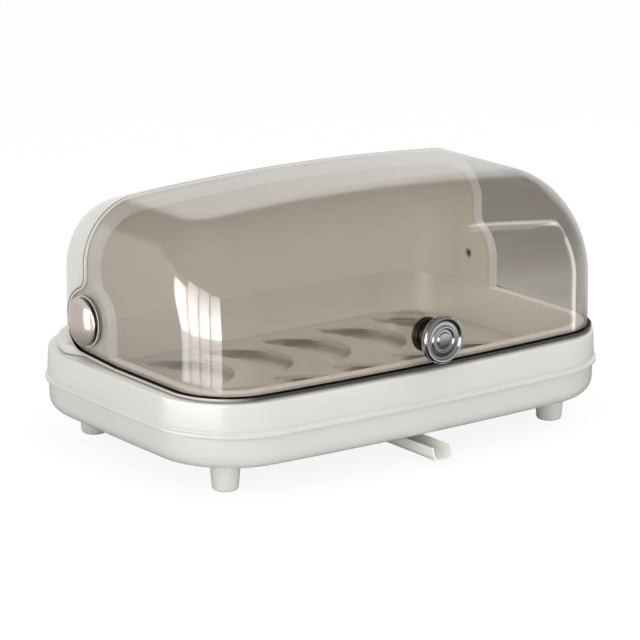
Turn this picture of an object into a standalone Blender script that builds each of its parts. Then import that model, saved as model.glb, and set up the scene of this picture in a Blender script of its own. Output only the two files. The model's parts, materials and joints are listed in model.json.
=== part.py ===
"""Dish storage box: white base with a drain rack, fixed rear cover and smoked flip lid.

Metres, +Z up, -Y to the front. The origin is on the floor under the middle of the bounding box.
Inside the functions places are counted from the middle of the base's plan, at floor level;
the empty named placement shifts them all.
"""
import math

import bmesh
import bpy
import numpy as np
from mathutils import Matrix, Vector

# Base: plan at the bead, and heights over the floor
BASE_LENGTH = 0.450
BASE_DEPTH = 0.3078
BASE_CORNER = 0.0718
BASE_BOW = 0.0081
BASE_SIDE_BOW = 0.0020
PARTING_HEIGHT = 0.0536
BAND_HEIGHT = 0.0289
BAND_LEAN = 0.0034
BEAD_PROUD = 0.0020
BEAD_HEIGHT = 0.0042
FRAME_WALL = 0.0028
LEDGE_ROUND = 0.0020
LEDGE_RISE = 0.0012
LEDGE_THICK = 0.0026
SKIRT_DROP = 0.0120

# Pan under the parting line
PAN_INSET = 0.0030
PAN_TAPER = 0.0008
PAN_ROUND = 0.0160
PAN_DEPTH = 0.0280
PAN_WALL = 0.0026
PAN_LIP_HEIGHT = 0.0050
PAN_LIP_THICK = 0.0018

# Lid: outer surface of the dome, steps in from the base and heights over the parting line
LID_SIDE_STEP = 0.0140
LID_FRONT_STEP = 0.0106
LID_BOW = 0.0090
LID_CROWN = 0.0109
LID_END_RADIUS = 0.0497
LID_FRONT_RADIUS = 0.0947
LID_LEAN = 0.009
LID_TOP = 0.1704
LID_REAR_LAP = 0.0025
LID_WALL = 0.0020
LID_FOOT = 0.0306
FLANGE_WIDTH = 0.0035
FLANGE_THICK = 0.0028
FLANGE_ROOT = 0.0010
FLANGE_RISE_LEAD = 0.0490
LOBE_RADIUS = 0.0290
LOBE_FILLET = 0.0120

# Pivot line of the lid, set back from the cover's rear, height over the parting line
PIVOT_SETBACK = 0.0813
PIVOT_Z = 0.0625
LID_OPENING_GAP = 0.0010
PIVOT_HOLE_RADIUS = 0.0105
BUSH_BORE_RADIUS = 0.0051
BUSH_PROUD = 0.0008
WASHER_RADIUS = 0.0195
WASHER_THICK = 0.0012
CAP_RADIUS = 0.0210
CAP_THICK = 0.0062
CAP_DOME = 0.0008
CAP_ROUND = 0.0016
CAP_NECK_RADIUS = 0.0180
CAP_NECK_HEIGHT = 0.0016
STEM_RADIUS = 0.0045
BOSS_RADIUS = 0.0066
BOSS_WEB = 0.0022
PIVOT_SCREW_HEAD = 0.0042
PIVOT_SCREW_SHANK = 0.0018
PIVOT_SCREW_LENGTH = 0.0130

# Rear cover; its front edges lead the pivot line
COVER_WALL = 0.0024
COVER_REAR_STEP = 0.0236
COVER_REAR_CORNER = 0.0600
COVER_REAR_BOW = 0.0050
COVER_SHOULDER = 0.0700
COVER_ROOF_LEAD = 0.0080
EAR_LEAD = 0.0305
EAR_FILLET = 0.0120
LINER_INSET = 0.0085
LINER_WALL = 0.0020
COVER_SKIRT_LEAD = 0.0050
COVER_SKIRT_PROUD = 0.0086
COVER_SKIRT_TOP = 0.0022
COVER_SCREW_INSET = 0.1010
COVER_TAB_DEPTH = 0.0080
COVER_TAB_WIDTH = 0.0140
COVER_TAB_THICK = 0.0024

# Drip tray, heights over the parting line
TRAY_LIP_TOP = 0.0362
TRAY_WALL = 0.0024
TRAY_DRAFT = 0.0034
TRAY_SEAT = -0.0033
TRAY_SEAT_WIDTH = 0.0040
TRAY_FLOOR = -0.0115
TRAY_FALL = 0.0030
TRAY_FLOOR_WALL = 0.0022
TRAY_RIB_THICK = 0.0036
TRAY_RIB_WIDTH = 0.0160
TRAY_RIB_Y = 0.0420
OUTLET_X = 0.0070
OUTLET_SETBACK = 0.0919
OUTLET_BORE = 0.0048
OUTLET_WALL = 0.0016
OUTLET_FUNNEL = 0.0130
OUTLET_DROP = 0.0215

# Drain rack
RACK_THICK = 0.0028
RACK_MARGIN = 0.0010
SLOT_COUNT = 6
RACK_SIDE_BAR = 0.0126
RACK_FRONT_BAR = 0.0189
RACK_MIDDLE_BAR = 0.0085
RACK_REAR_BAR = 0.0114
SLOT_BULGE = 0.0105
SLOT_TAIL = 0.0150
SLOT_SHIFT = 0.0025
SLOT_RIPPLE = 0.0011
SLOT_RIPPLES = 5
SLOT_TIP_ANGLE = -85
SLOT_HEAD_ANGLE = 91

# Knob on the lid's front
KNOB_HEIGHT = 0.0600
KNOB_PROUD = 0.0267
KNOB_RADIUS = 0.0201
KNOB_HEAD_DEPTH = 0.0125
KNOB_RING_DEPTH = 0.0018
COLLAR_RADIUS = 0.0148
COLLAR_NECK_RADIUS = 0.0112
COLLAR_FLANGE = 0.0062
KNOB_BORE_RADIUS = 0.0023
KNOB_HOLE_RADIUS = 0.0028
KNOB_SCREW_HEAD = 0.0042
KNOB_SCREW_HEAD_THICK = 0.0024
KNOB_SCREW_SHANK = 0.0019
KNOB_SCREW_LENGTH = 0.0220
KNOB_WASHER_RADIUS = 0.0085
KNOB_WASHER_THICK = 0.0014

# Feet, set in from the base's outline
FOOT_SIDE_STEP = 0.0527
FOOT_END_STEP = 0.0541
FOOT_TOP_RADIUS = 0.0130
FOOT_END_RADIUS = 0.0108
FOOT_ROUND = 0.0030
FOOT_BORE_RADIUS = 0.0023
FOOT_RECESS_RADIUS = 0.0045
FOOT_RECESS_DEPTH = 0.0120
FOOT_SCREW_HEAD = 0.0040
FOOT_SCREW_HEAD_THICK = 0.0022
FOOT_SCREW_SHANK = 0.0018
FOOT_SCREW_BITE = 0.0060
PAN_BOSS_RADIUS = 0.0060
PAN_BOSS_HEIGHT = 0.0100

# Spout and its guide under the pan, heights under the parting line
SPOUT_PROUD = 0.0061
SPOUT_LENGTH = 0.1120
SPOUT_WIDTH = 0.0200
SPOUT_DEPTH = 0.0118
SPOUT_WALL = 0.0016
SPOUT_RIM_DROP = 0.0354
SPOUT_LIP_WIDTH = 0.0020
SPOUT_LIP_THICK = 0.0014
SPOUT_LIP_SETBACK = 0.0480
GUIDE_SETBACK = 0.0439
GUIDE_LENGTH = 0.1060
GUIDE_PLATE = 0.0020
GUIDE_WEB = 0.0022
GUIDE_TOE = 0.0014
GUIDE_SLACK = 0.0004
GUIDE_TAB = 0.0100
SMALL_SCREW_HEAD = 0.0032
SMALL_SCREW_HEAD_THICK = 0.0018
SMALL_SCREW_SHANK = 0.0014
SMALL_SCREW_BITE = 0.0050
SMALL_BOSS_RADIUS = 0.0040
SMALL_BOSS_HEIGHT = 0.0060

# Fits
SEAT = 0.0003
OVERRUN = 0.0100
CHAMFER = 0.0006

# Mesh fineness
CORNER_STEPS = 5
RUN_STEPS = 4
ARC_STEPS = 8
STATION_STEPS = 6
CROWN_STEPS = 4
TURN_STEPS = 20
SMALL_STEPS = 12
ROUND_STEPS = 3
SLOT_STEPS = 12
RIPPLE_STEPS = 3

# Places worked out from the sizes above
LID_HALF_LENGTH = BASE_LENGTH / 2 - LID_SIDE_STEP
LID_FRONT = BASE_DEPTH / 2 - LID_FRONT_STEP
COVER_REAR = BASE_DEPTH / 2 - COVER_REAR_STEP
COVER_SCREW_SPREAD = LID_HALF_LENGTH - COVER_SCREW_INSET
PIVOT_Y = COVER_REAR - PIVOT_SETBACK
LID_REAR_EDGE = PIVOT_Y + LID_REAR_LAP
FLANGE_RISE_START = PIVOT_Y - FLANGE_RISE_LEAD
COVER_FRONT_EDGE = PIVOT_Y - COVER_ROOF_LEAD
EAR_FRONT_EDGE = PIVOT_Y - EAR_LEAD
OUTLET_Y = OUTLET_SETBACK - BASE_DEPTH / 2
KNOB_REACH = LID_FRONT + KNOB_PROUD
FOOT_X = BASE_LENGTH / 2 - FOOT_SIDE_STEP
FOOT_Y = BASE_DEPTH / 2 - FOOT_END_STEP
SPOUT_TIP = BASE_DEPTH / 2 + SPOUT_PROUD
GUIDE_FRONT = BASE_DEPTH / 2 - GUIDE_SETBACK
PIVOT_HEIGHT = PARTING_HEIGHT + PIVOT_Z
COVER_TOP_RADIUS = LID_TOP - LID_WALL - LID_OPENING_GAP - PIVOT_Z
COVER_HALF_LENGTH = LID_HALF_LENGTH - LID_WALL - LID_OPENING_GAP
COVER_END_RADIUS = LID_END_RADIUS - LID_WALL - LID_OPENING_GAP
TRAY_FRONT = LID_FRONT - LID_WALL - LID_OPENING_GAP
LEDGE_TOP = PARTING_HEIGHT + BAND_HEIGHT
TRAY_TOP = PARTING_HEIGHT + TRAY_LIP_TOP
COVER_BOTTOM = TRAY_TOP + SEAT
PAN_BOTTOM = PARTING_HEIGHT - PAN_DEPTH
PAN_FLOOR = PAN_BOTTOM + PAN_WALL
SHIFT_Y = (KNOB_REACH - BASE_DEPTH / 2) / 2
TRAY_SIDE = LINER_INSET + TRAY_DRAFT
BOSS_LENGTH = LINER_INSET - LINER_WALL - COVER_WALL - SEAT
RACK_INSET = TRAY_SIDE + RACK_MARGIN
RACK_LENGTH = (COVER_HALF_LENGTH - RACK_INSET) * 2
RACK_FRONT = TRAY_FRONT - RACK_INSET
RACK_REAR = COVER_REAR - RACK_INSET
RACK_BARS = RACK_FRONT_BAR + RACK_MIDDLE_BAR + RACK_REAR_BAR
SLOT_RADIUS = (RACK_FRONT + RACK_REAR - RACK_BARS) / 4
SLOT_ROW_CENTRES = (
    RACK_REAR - RACK_REAR_BAR - SLOT_RADIUS, SLOT_RADIUS + RACK_FRONT_BAR - RACK_FRONT
)
SLOT_WIDTH = SLOT_SHIFT + SLOT_RADIUS
SLOT_PITCH = (RACK_LENGTH - RACK_SIDE_BAR * 2 - SLOT_WIDTH) / (SLOT_COUNT - 1)


def clear_scene():
    """Removes every object that the file starts with."""
    for item in list(bpy.data.objects):
        bpy.data.objects.remove(item, do_unlink=True)


def make_material(name, colour, roughness, metallic=0.0, alpha=1.0):
    """Principled material; colour is a linear red, green and blue triple."""
    material = bpy.data.materials.new(name)
    material.use_nodes = True
    shader = material.node_tree.nodes["Principled BSDF"]
    shader.inputs["Base Color"].default_value = (*colour, 1.0)
    shader.inputs["Roughness"].default_value = roughness
    shader.inputs["Metallic"].default_value = metallic
    shader.inputs["Alpha"].default_value = alpha
    return material


def add_object(name, mesh, material, parent, smooth_angle=math.radians(35)):
    """Links a mesh as a named object under its parent."""
    for polygon in mesh.polygons:
        polygon.use_smooth = True
    mesh.set_sharp_from_angle(angle=smooth_angle)
    mesh.materials.clear()
    mesh.materials.append(material)
    item = bpy.data.objects.new(name, mesh)
    bpy.context.scene.collection.objects.link(item)
    item.parent = parent
    return item


def add_empty(name, place, parent=None):
    """Empty at a place given in the parent's frame."""
    item = bpy.data.objects.new(name, None)
    bpy.context.scene.collection.objects.link(item)
    item.parent = parent
    item.location = place
    return item


def mesh_from(bm, name):
    """Closes a bmesh's normals outward and turns it into a mesh."""
    bmesh.ops.recalc_face_normals(bm, faces=bm.faces[:])
    mesh = bpy.data.meshes.new(name)
    bm.to_mesh(mesh)
    bm.free()
    return mesh


def loft(name, loops, ring=False):
    """Closed solid through loops with the same number of points.

    Loops that form a ring join last to first; otherwise both end loops are filled.
    """
    bm = bmesh.new()
    rows = [[bm.verts.new(point) for point in loop] for loop in loops]
    count = len(rows[0])
    pairs = list(zip(rows, rows[1:]))
    if ring:
        pairs.append((rows[-1], rows[0]))
    for lower, upper in pairs:
        for index in range(count):
            after = (index + 1) % count
            bm.faces.new((lower[index], lower[after], upper[after], upper[index]))
    if not ring:
        bm.faces.new(rows[0][::-1])
        bm.faces.new(rows[-1])
    return mesh_from(bm, name)


def prism(name, outline, axis, low, high):
    """Flat outline pushed along X, Y or Z from low to high."""
    def place(pair, value):
        """Puts the outline's two coordinates round the pushed one."""
        if axis == "X":
            return (value, pair[0], pair[1])
        if axis == "Y":
            return (pair[0], value, pair[1])
        return (pair[0], pair[1], value)
    return loft(name, [[place(pair, value) for pair in outline] for value in (low, high)])


def plate_with_holes(name, outer, holes, low, high):
    """Flat plate between two heights with an outline and holes through it."""
    bm = bmesh.new()
    edges = []
    for outline in (outer, *holes):
        verts = [bm.verts.new((x, y, low)) for x, y in outline]
        for index, vert in enumerate(verts):
            edges.append(bm.edges.new((vert, verts[(index + 1) % len(verts)])))
    filled = bmesh.ops.triangle_fill(bm, use_beauty=True, use_dissolve=False, edges=edges)
    faces = [item for item in filled["geom"] if isinstance(item, bmesh.types.BMFace)]
    raised = bmesh.ops.extrude_face_region(bm, geom=faces, use_keep_orig=True)
    verts = [item for item in raised["geom"] if isinstance(item, bmesh.types.BMVert)]
    bmesh.ops.translate(bm, verts=verts, vec=(0.0, 0.0, high - low))
    return mesh_from(bm, name)


def turned(name, profile, steps=TURN_STEPS):
    """Solid of revolution about Z from radius and height pairs, bottom centre to top centre.

    A profile that starts and ends off the axis is joined into a ring instead.
    """
    solid = profile[0][0] == 0 and profile[-1][0] == 0
    rims = profile[1:-1] if solid else profile
    bm = bmesh.new()
    rows = []
    for radius, height in rims:
        row = []
        for step in range(steps):
            angle = math.tau * step / steps
            row.append(bm.verts.new((radius * math.cos(angle), radius * math.sin(angle), height)))
        rows.append(row)
    pairs = list(zip(rows, rows[1:]))
    if not solid:
        pairs.append((rows[-1], rows[0]))
    for lower, upper in pairs:
        for index in range(steps):
            after = (index + 1) % steps
            bm.faces.new((lower[index], lower[after], upper[after], upper[index]))
    if solid:
        ends = ((rows[0], rims[0][1], profile[0][1]), (rows[-1], rims[-1][1], profile[-1][1]))
        for row, rim_height, height in ends:
            if rim_height == height:
                bm.faces.new(row)
                continue
            tip = bm.verts.new((0.0, 0.0, height))
            for index in range(steps):
                bm.faces.new((row[index], row[(index + 1) % steps], tip))
    return mesh_from(bm, name)


def cylinder(name, radius, low, high, steps=SMALL_STEPS):
    """Plain round bar about Z."""
    return turned(name, [(0.0, low), (radius, low), (radius, high), (0.0, high)], steps)


def screw_mesh(head_radius, shank_radius, head_face, seat, tip):
    """Screw about Z with a hollowed head, pointing from its head's face to its tip."""
    facing = math.copysign(CHAMFER, tip - seat)
    return turned("screw", [
        (0.0, head_face + facing), (head_radius / 3, head_face),
        (head_radius - CHAMFER, head_face), (head_radius, head_face + facing),
        (head_radius, seat), (shank_radius, seat),
        (shank_radius, tip - facing), (shank_radius - CHAMFER, tip), (0.0, tip),
    ], SMALL_STEPS)


def aimed(mesh, direction, place):
    """Turns a mesh made about Z to point along a direction, and moves it to its place."""
    turn = Vector((0.0, 0.0, 1.0)).rotation_difference(Vector(direction)).to_matrix().to_4x4()
    mesh.transform(Matrix.Translation(place) @ turn)
    return mesh


def cut(body, tools, operation="DIFFERENCE"):
    """Joins or cuts meshes with Boolean modifiers and returns the resulting mesh."""
    host = bpy.data.objects.new("host", body)
    bpy.context.scene.collection.objects.link(host)
    helpers = [host]
    for tool in tools:
        helper = bpy.data.objects.new("tool", tool)
        bpy.context.scene.collection.objects.link(helper)
        modifier = host.modifiers.new("cut", "BOOLEAN")
        modifier.operation = operation
        modifier.solver = "EXACT"
        modifier.object = helper
        helpers.append(helper)
    graph = bpy.context.evaluated_depsgraph_get()
    graph.update()
    result = bpy.data.meshes.new_from_object(host.evaluated_get(graph))
    for helper in helpers:
        bpy.data.objects.remove(helper, do_unlink=True)
    return result


def arc(centre, radius, start, end, steps):
    """Points of an arc in a plane, both ends kept, angles in radians."""
    angles = np.linspace(start, end, steps + 1)
    return [(centre[0] + radius * math.cos(a), centre[1] + radius * math.sin(a)) for a in angles]


def plan_loop(half_x, front, rear, front_corner, rear_corner, bows):
    """Plan outline with round corners and bowed sides, anticlockwise seen from above.

    front and rear are the reach of the two long sides at mid-length, and bows holds how far
    the front, the rear and the two short sides bow out.
    """
    front_bow, rear_bow, side_bow = bows
    flat_x = half_x - side_bow
    corners = (
        (1, 1, rear - rear_bow, rear_corner, 0),
        (-1, 1, rear - rear_bow, rear_corner, 1),
        (-1, -1, front - front_bow, front_corner, 2),
        (1, -1, front - front_bow, front_corner, 3),
    )
    points = []
    for sign_x, sign_y, edge, corner, quarter in corners:
        centre = (sign_x * (flat_x - corner), sign_y * (edge - corner))
        start = quarter * math.pi / 2
        bend = arc(centre, corner, start, start + math.pi / 2, CORNER_STEPS)
        if points:
            points += between(points[-1], bend[0])
        points += bend
    points += between(points[-1], points[0])
    bowed = []
    for x, y in points:
        edge, bow = (rear - rear_bow, rear_bow) if y > 0 else (front - front_bow, front_bow)
        along_x = max(0.0, 1 - (x / flat_x) ** 2)
        along_y = max(0.0, 1 - (y / edge) ** 2)
        bowed.append((x + math.copysign(side_bow * along_y, x), y + math.copysign(bow * along_x, y)))
    return bowed


def between(first, last):
    """Points that divide the straight way between two points, ends left out."""
    shares = [step / RUN_STEPS for step in range(1, RUN_STEPS)]
    return [
        (first[0] + (last[0] - first[0]) * share, first[1] + (last[1] - first[1]) * share)
        for share in shares
    ]


def base_loop(inset, height):
    """Base outline drawn in from the bead, at a height."""
    outline = plan_loop(
        BASE_LENGTH / 2 - inset,
        BASE_DEPTH / 2 - inset,
        BASE_DEPTH / 2 - inset,
        BASE_CORNER - inset,
        BASE_CORNER - inset,
        (BASE_BOW, BASE_BOW, BASE_SIDE_BOW),
    )
    return [(x, y, height) for x, y in outline]


def tray_outline(inset):
    """Outline of the tray's lip, which follows the lid in front and the cover behind."""
    return plan_loop(
        COVER_HALF_LENGTH - inset,
        TRAY_FRONT - inset,
        COVER_REAR - inset,
        COVER_END_RADIUS - inset,
        COVER_REAR_CORNER - inset,
        (LID_BOW, COVER_REAR_BOW, 0.0),
    )


def tray_loop(inset, height):
    """Tray outline drawn in from the lip's outer face, at a height."""
    return [(x, y, height) for x, y in tray_outline(inset)]


def outlet_loop(radius, height):
    """Round loop about the outlet whose points match those of the tray's outline."""
    points = []
    for x, y in tray_outline(0.0):
        away = Vector((x - OUTLET_X, y - OUTLET_Y)).normalized()
        points.append((OUTLET_X + radius * away.x, OUTLET_Y + radius * away.y, height))
    return points


def quarter_inset(distance, radius, half_length):
    """How far a quarter-round end draws the section in at a distance from mid-length."""
    past = min(max(distance - (half_length - radius), 0.0), radius)
    return radius - math.sqrt(radius * radius - past * past)


def dome(name, half_length, top_radius, side_radius, section, bow, crown):
    """Solid whose Y and Z section is drawn in towards both ends by quarter rounds.

    section lists (y, z, weight_y, weight_z): the weights say how much of the end round, the
    bow and the crown move that point along Y and along Z.
    """
    widest = max(top_radius, side_radius)
    stations = [(half_length - widest) * step / CROWN_STEPS for step in range(CROWN_STEPS)]
    for step in range(STATION_STEPS + 1):
        swing = math.pi / 2 * step / STATION_STEPS
        stations.append(half_length - widest + widest * math.sin(swing))
    stations = [-x for x in reversed(stations[1:])] + stations
    loops = []
    for x in stations:
        share = (x / half_length) ** 2
        draw_y = quarter_inset(abs(x), side_radius, half_length) + bow * share
        draw_z = quarter_inset(abs(x), top_radius, half_length) + crown * share
        loops.append([(x, y - wy * draw_y, z - wz * draw_z) for y, z, wy, wz in section])
    return loft(name, loops)


def lid_section(offset, rear, foot):
    """Section of the lid's dome, drawn in by an offset from its outer face."""
    radius = LID_FRONT_RADIUS - offset
    top = PARTING_HEIGHT + LID_TOP - offset
    centre_z = top - radius
    foot_z = PARTING_HEIGHT + LID_FOOT
    lean_shift = (centre_z - foot_z) * math.tan(LID_LEAN)
    centre_y = -LID_FRONT + offset + lean_shift + radius / math.cos(LID_LEAN)
    points = [(-LID_FRONT + offset - (foot_z - foot) * math.tan(LID_LEAN), foot, -1.0, 0.0)]
    for step in range(ARC_STEPS + 1):
        angle = math.pi - LID_LEAN - (math.pi / 2 - LID_LEAN) * step / ARC_STEPS
        weight_y = math.cos(angle) if step < ARC_STEPS else 0.0
        weight_z = math.sin(angle)
        points.append(
            (centre_y + radius * weight_y, centre_z + radius * weight_z, weight_y, weight_z)
        )
    points.append((rear, top, 0.0, 1.0))
    points.append((rear, foot, 0.0, 0.0))
    return points


def cover_section(offset, front, foot):
    """Section of the rear cover, a roof arc about the pivot, a rear shoulder and a rear wall."""
    top_radius = COVER_TOP_RADIUS - offset
    shoulder = COVER_SHOULDER - offset
    reach = COVER_REAR - offset - shoulder - PIVOT_Y
    turn = math.asin(reach / (top_radius - shoulder))
    start = math.asin((front - PIVOT_Y) / top_radius)
    points = [(front, foot, 0.0, 0.0)]
    for step in range(ARC_STEPS // 2 + 1):
        angle = start + (turn - start) * step / (ARC_STEPS // 2)
        y = PIVOT_Y + top_radius * math.sin(angle)
        z = PIVOT_HEIGHT + top_radius * math.cos(angle)
        points.append((y, z, max(0.0, math.sin(angle)), math.cos(angle)))
    centre_y = COVER_REAR - offset - shoulder
    centre_z = PIVOT_HEIGHT + (top_radius - shoulder) * math.cos(turn)
    for step in range(1, ARC_STEPS + 1):
        angle = turn + (math.pi / 2 - turn) * step / ARC_STEPS
        weight_z = math.cos(angle) if step < ARC_STEPS else 0.0
        y = centre_y + shoulder * math.sin(angle)
        z = centre_z + shoulder * weight_z
        points.append((y, z, math.sin(angle), weight_z))
    points.append((COVER_REAR - offset, foot, 1.0, 0.0))
    return points


def lid_outline():
    """Side view of the lid: rising foot line, lobe round the pivot, fillet and rear edge."""
    foot = PARTING_HEIGHT + LID_FOOT
    start = (FLANGE_RISE_START, foot)
    away = (PIVOT_Y - start[0], PIVOT_HEIGHT - start[1])
    distance = math.hypot(*away)
    rise = math.atan2(away[1], away[0]) - math.asin(LOBE_RADIUS / distance)
    fillet_y = LID_REAR_EDGE + LOBE_FILLET
    fillet_z = PIVOT_HEIGHT + math.sqrt(
        (LOBE_RADIUS + LOBE_FILLET) ** 2 - (fillet_y - PIVOT_Y) ** 2
    )
    meet = math.atan2(fillet_z - PIVOT_HEIGHT, fillet_y - PIVOT_Y)
    lobe = arc((PIVOT_Y, PIVOT_HEIGHT), LOBE_RADIUS, rise - math.pi / 2, meet, 2 * ARC_STEPS)
    fillet = arc((fillet_y, fillet_z), LOBE_FILLET, meet + math.pi, math.pi, ARC_STEPS // 2)
    top = PARTING_HEIGHT + LID_TOP + OVERRUN
    front = -LID_FRONT - OVERRUN
    return [(front, foot), start, *lobe, *fillet[1:], (LID_REAR_EDGE, top), (front, top)]


def foot_height(y):
    """Height of the lid's foot line at a place along Y."""
    outline = lid_outline()
    start, tangent = outline[1], outline[2]
    share = max(0.0, (y - start[0]) / (tangent[0] - start[0]))
    return start[1] + (tangent[1] - start[1]) * share


def flange_bar():
    """Bar that stands out along the lid's foot, from lobe to lobe round the front."""
    def plan(offset):
        """Lid outline in plan, drawn in by an offset."""
        return plan_loop(
            LID_HALF_LENGTH - offset,
            LID_FRONT - offset,
            COVER_REAR - offset,
            LID_END_RADIUS - offset,
            LID_END_RADIUS - offset,
            (LID_BOW, COVER_REAR_BOW, 0.0),
        )
    inner = plan(FLANGE_ROOT)
    outer = plan(-FLANGE_WIDTH)
    end_y = lid_outline()[2][0] - LOBE_FILLET
    keep = [i for i, (x, y) in enumerate(outer) if y < end_y - FLANGE_WIDTH]
    ordered = sorted(keep, key=lambda i: math.atan2(outer[i][0], -outer[i][1]))
    ends = []
    for side in (-1, 1):
        ends.append([
            (side * (LID_HALF_LENGTH - FLANGE_ROOT), end_y),
            (side * (LID_HALF_LENGTH + FLANGE_ROOT), end_y),
        ])
    rows = [ends[0]] + [[inner[i], outer[i]] for i in ordered] + [ends[1]]
    sections = []
    for (ix, iy), (ox, oy) in rows:
        low = foot_height(iy) - SEAT / 2
        high = low + FLANGE_THICK
        sections.append([(ix, iy, low), (ox, oy, low), (ox, oy, high), (ix, iy, high)])
    return loft("flange", sections)


def make_base(parts, white):
    """Pan, frame band, tray, feet and what fastens them."""
    top = PARTING_HEIGHT - SEAT
    bend = arc((0.0, 0.0), PAN_ROUND, -math.pi / 2, 0.0, ROUND_STEPS)
    inner_round = PAN_ROUND - PAN_WALL
    inner_bend = arc((0.0, 0.0), inner_round, 0.0, -math.pi / 2, ROUND_STEPS)
    outer_side = PAN_INSET + PAN_TAPER
    loops = []
    for x, z in bend:
        loops.append(base_loop(outer_side + PAN_ROUND - x, PAN_BOTTOM + PAN_ROUND + z))
    lip_outer = FRAME_WALL + BEAD_PROUD + SEAT
    lip_inner = lip_outer + PAN_LIP_THICK
    loops.append(base_loop(PAN_INSET, top - CHAMFER))
    loops.append(base_loop(PAN_INSET + CHAMFER / 2, top))
    loops.append(base_loop(lip_outer, top))
    loops.append(base_loop(lip_outer, top + PAN_LIP_HEIGHT))
    loops.append(base_loop(lip_inner, top + PAN_LIP_HEIGHT))
    loops.append(base_loop(max(lip_inner, PAN_INSET + PAN_WALL), top - PAN_WALL))
    for x, z in inner_bend:
        loops.append(base_loop(outer_side + PAN_ROUND - x, PAN_BOTTOM + PAN_ROUND + z))
    pan = loft("base_pan", loops)
    bosses = []
    for x, y in foot_places():
        boss = cylinder("boss", PAN_BOSS_RADIUS, PAN_FLOOR - CHAMFER, PAN_FLOOR + PAN_BOSS_HEIGHT)
        bosses.append(aimed(boss, (0, 0, 1), (x, y, 0.0)))
    for x, y in guide_screw_places():
        boss = cylinder("boss", SMALL_BOSS_RADIUS, PAN_FLOOR - CHAMFER, PAN_FLOOR + SMALL_BOSS_HEIGHT)
        bosses.append(aimed(boss, (0, 0, 1), (x, y, 0.0)))
    rib_top = PARTING_HEIGHT + TRAY_SEAT - TRAY_FLOOR_WALL - SEAT
    for outline in tray_ribs():
        bosses.append(prism("rib", outline, "Z", PAN_FLOOR - CHAMFER, rib_top))
    pan = cut(pan, bosses, "UNION")
    holes = []
    below = PAN_BOTTOM - OVERRUN
    for x, y in foot_places():
        hole = cylinder("hole", FOOT_SCREW_SHANK + SEAT, below, PAN_BOTTOM + FOOT_SCREW_BITE + SEAT)
        holes.append(aimed(hole, (0, 0, 1), (x, y, 0.0)))
    for x, y in guide_screw_places():
        hole = cylinder("hole", SMALL_SCREW_SHANK + SEAT, below, PAN_BOTTOM + SMALL_SCREW_BITE + SEAT)
        holes.append(aimed(hole, (0, 0, 1), (x, y, 0.0)))
    outlet = cylinder("hole", OUTLET_BORE + OUTLET_WALL + LID_OPENING_GAP, below, PARTING_HEIGHT)
    holes.append(aimed(outlet, (0, 0, 1), (OUTLET_X, OUTLET_Y, 0.0)))
    pan = cut(pan, holes)
    add_object("base_pan", pan, white, parts)

    low = PARTING_HEIGHT + SEAT
    lean_start = BEAD_PROUD
    lean_end = BAND_LEAN
    inner_top = LEDGE_TOP + LEDGE_RISE
    gap = LID_OPENING_GAP / 2
    loops = [
        base_loop(CHAMFER, low),
        base_loop(0.0, low + BEAD_HEIGHT / 4),
        base_loop(0.0, low + BEAD_HEIGHT / 2),
        base_loop(lean_start - CHAMFER, low + BEAD_HEIGHT),
        base_loop(lean_start, low + BEAD_HEIGHT + CHAMFER),
        base_loop(lean_end - CHAMFER / 2, LEDGE_TOP - LEDGE_ROUND),
        base_loop(lean_end + LEDGE_ROUND / 4, LEDGE_TOP - LEDGE_ROUND / 3),
        base_loop(lean_end + LEDGE_ROUND, LEDGE_TOP),
        tray_loop(-gap - CHAMFER, inner_top),
        tray_loop(-gap, inner_top - CHAMFER),
        tray_loop(-gap, LEDGE_TOP - SKIRT_DROP),
        tray_loop(-gap - FRAME_WALL / 2, LEDGE_TOP - SKIRT_DROP),
        tray_loop(-gap - FRAME_WALL / 2, LEDGE_TOP - LEDGE_THICK),
        base_loop(lean_end + FRAME_WALL, LEDGE_TOP - LEDGE_THICK - LEDGE_ROUND),
        base_loop(FRAME_WALL + BEAD_PROUD, low + BEAD_HEIGHT + LEDGE_THICK),
        base_loop(FRAME_WALL + BEAD_PROUD, low),
    ]
    frame = loft("base_frame", loops, ring=True)
    holes = []
    for x, y in cover_screw_places():
        hole = cylinder("hole", SMALL_SCREW_SHANK + SEAT, LEDGE_TOP - OVERRUN, LEDGE_TOP + OVERRUN)
        holes.append(aimed(hole, (0, 0, 1), (x, y, 0.0)))
    frame = cut(frame, holes)
    add_object("base_frame", frame, white, parts)


def foot_places():
    """Centres of the four feet, front left first."""
    return [(-FOOT_X, -FOOT_Y), (FOOT_X, -FOOT_Y), (-FOOT_X, FOOT_Y), (FOOT_X, FOOT_Y)]


def guide_screw_places():
    """Centres of the two screws that hold the spout's guide to the pan."""
    side = SPOUT_WIDTH / 2 + SPOUT_LIP_WIDTH + GUIDE_SLACK + GUIDE_WEB + GUIDE_TAB / 2
    middle = -GUIDE_FRONT + GUIDE_LENGTH / 2
    return [(OUTLET_X - side, middle), (OUTLET_X + side, middle)]


def tray_ribs():
    """Outlines of the pan's ribs that carry the drip tray under its seat."""
    outer = COVER_HALF_LENGTH - TRAY_SIDE + TRAY_WALL - SEAT
    inner = outer - TRAY_RIB_THICK
    ribs = []
    for side in (-1, 1):
        for row in (-1, 1):
            near, far = row * TRAY_RIB_Y, row * (TRAY_RIB_Y + TRAY_RIB_WIDTH)
            corners = [(inner, near), (outer, near), (outer, far), (inner, far)]
            ribs.append([(side * x, y) for x, y in corners])
    return ribs


def cover_screw_places():
    """Centres of the two screws behind the rear cover."""
    share = (COVER_SCREW_SPREAD / COVER_HALF_LENGTH) ** 2
    y = COVER_REAR - COVER_REAR_BOW * share + COVER_SKIRT_PROUD + COVER_TAB_DEPTH / 2
    return [(-COVER_SCREW_SPREAD, y), (COVER_SCREW_SPREAD, y)]


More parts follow.
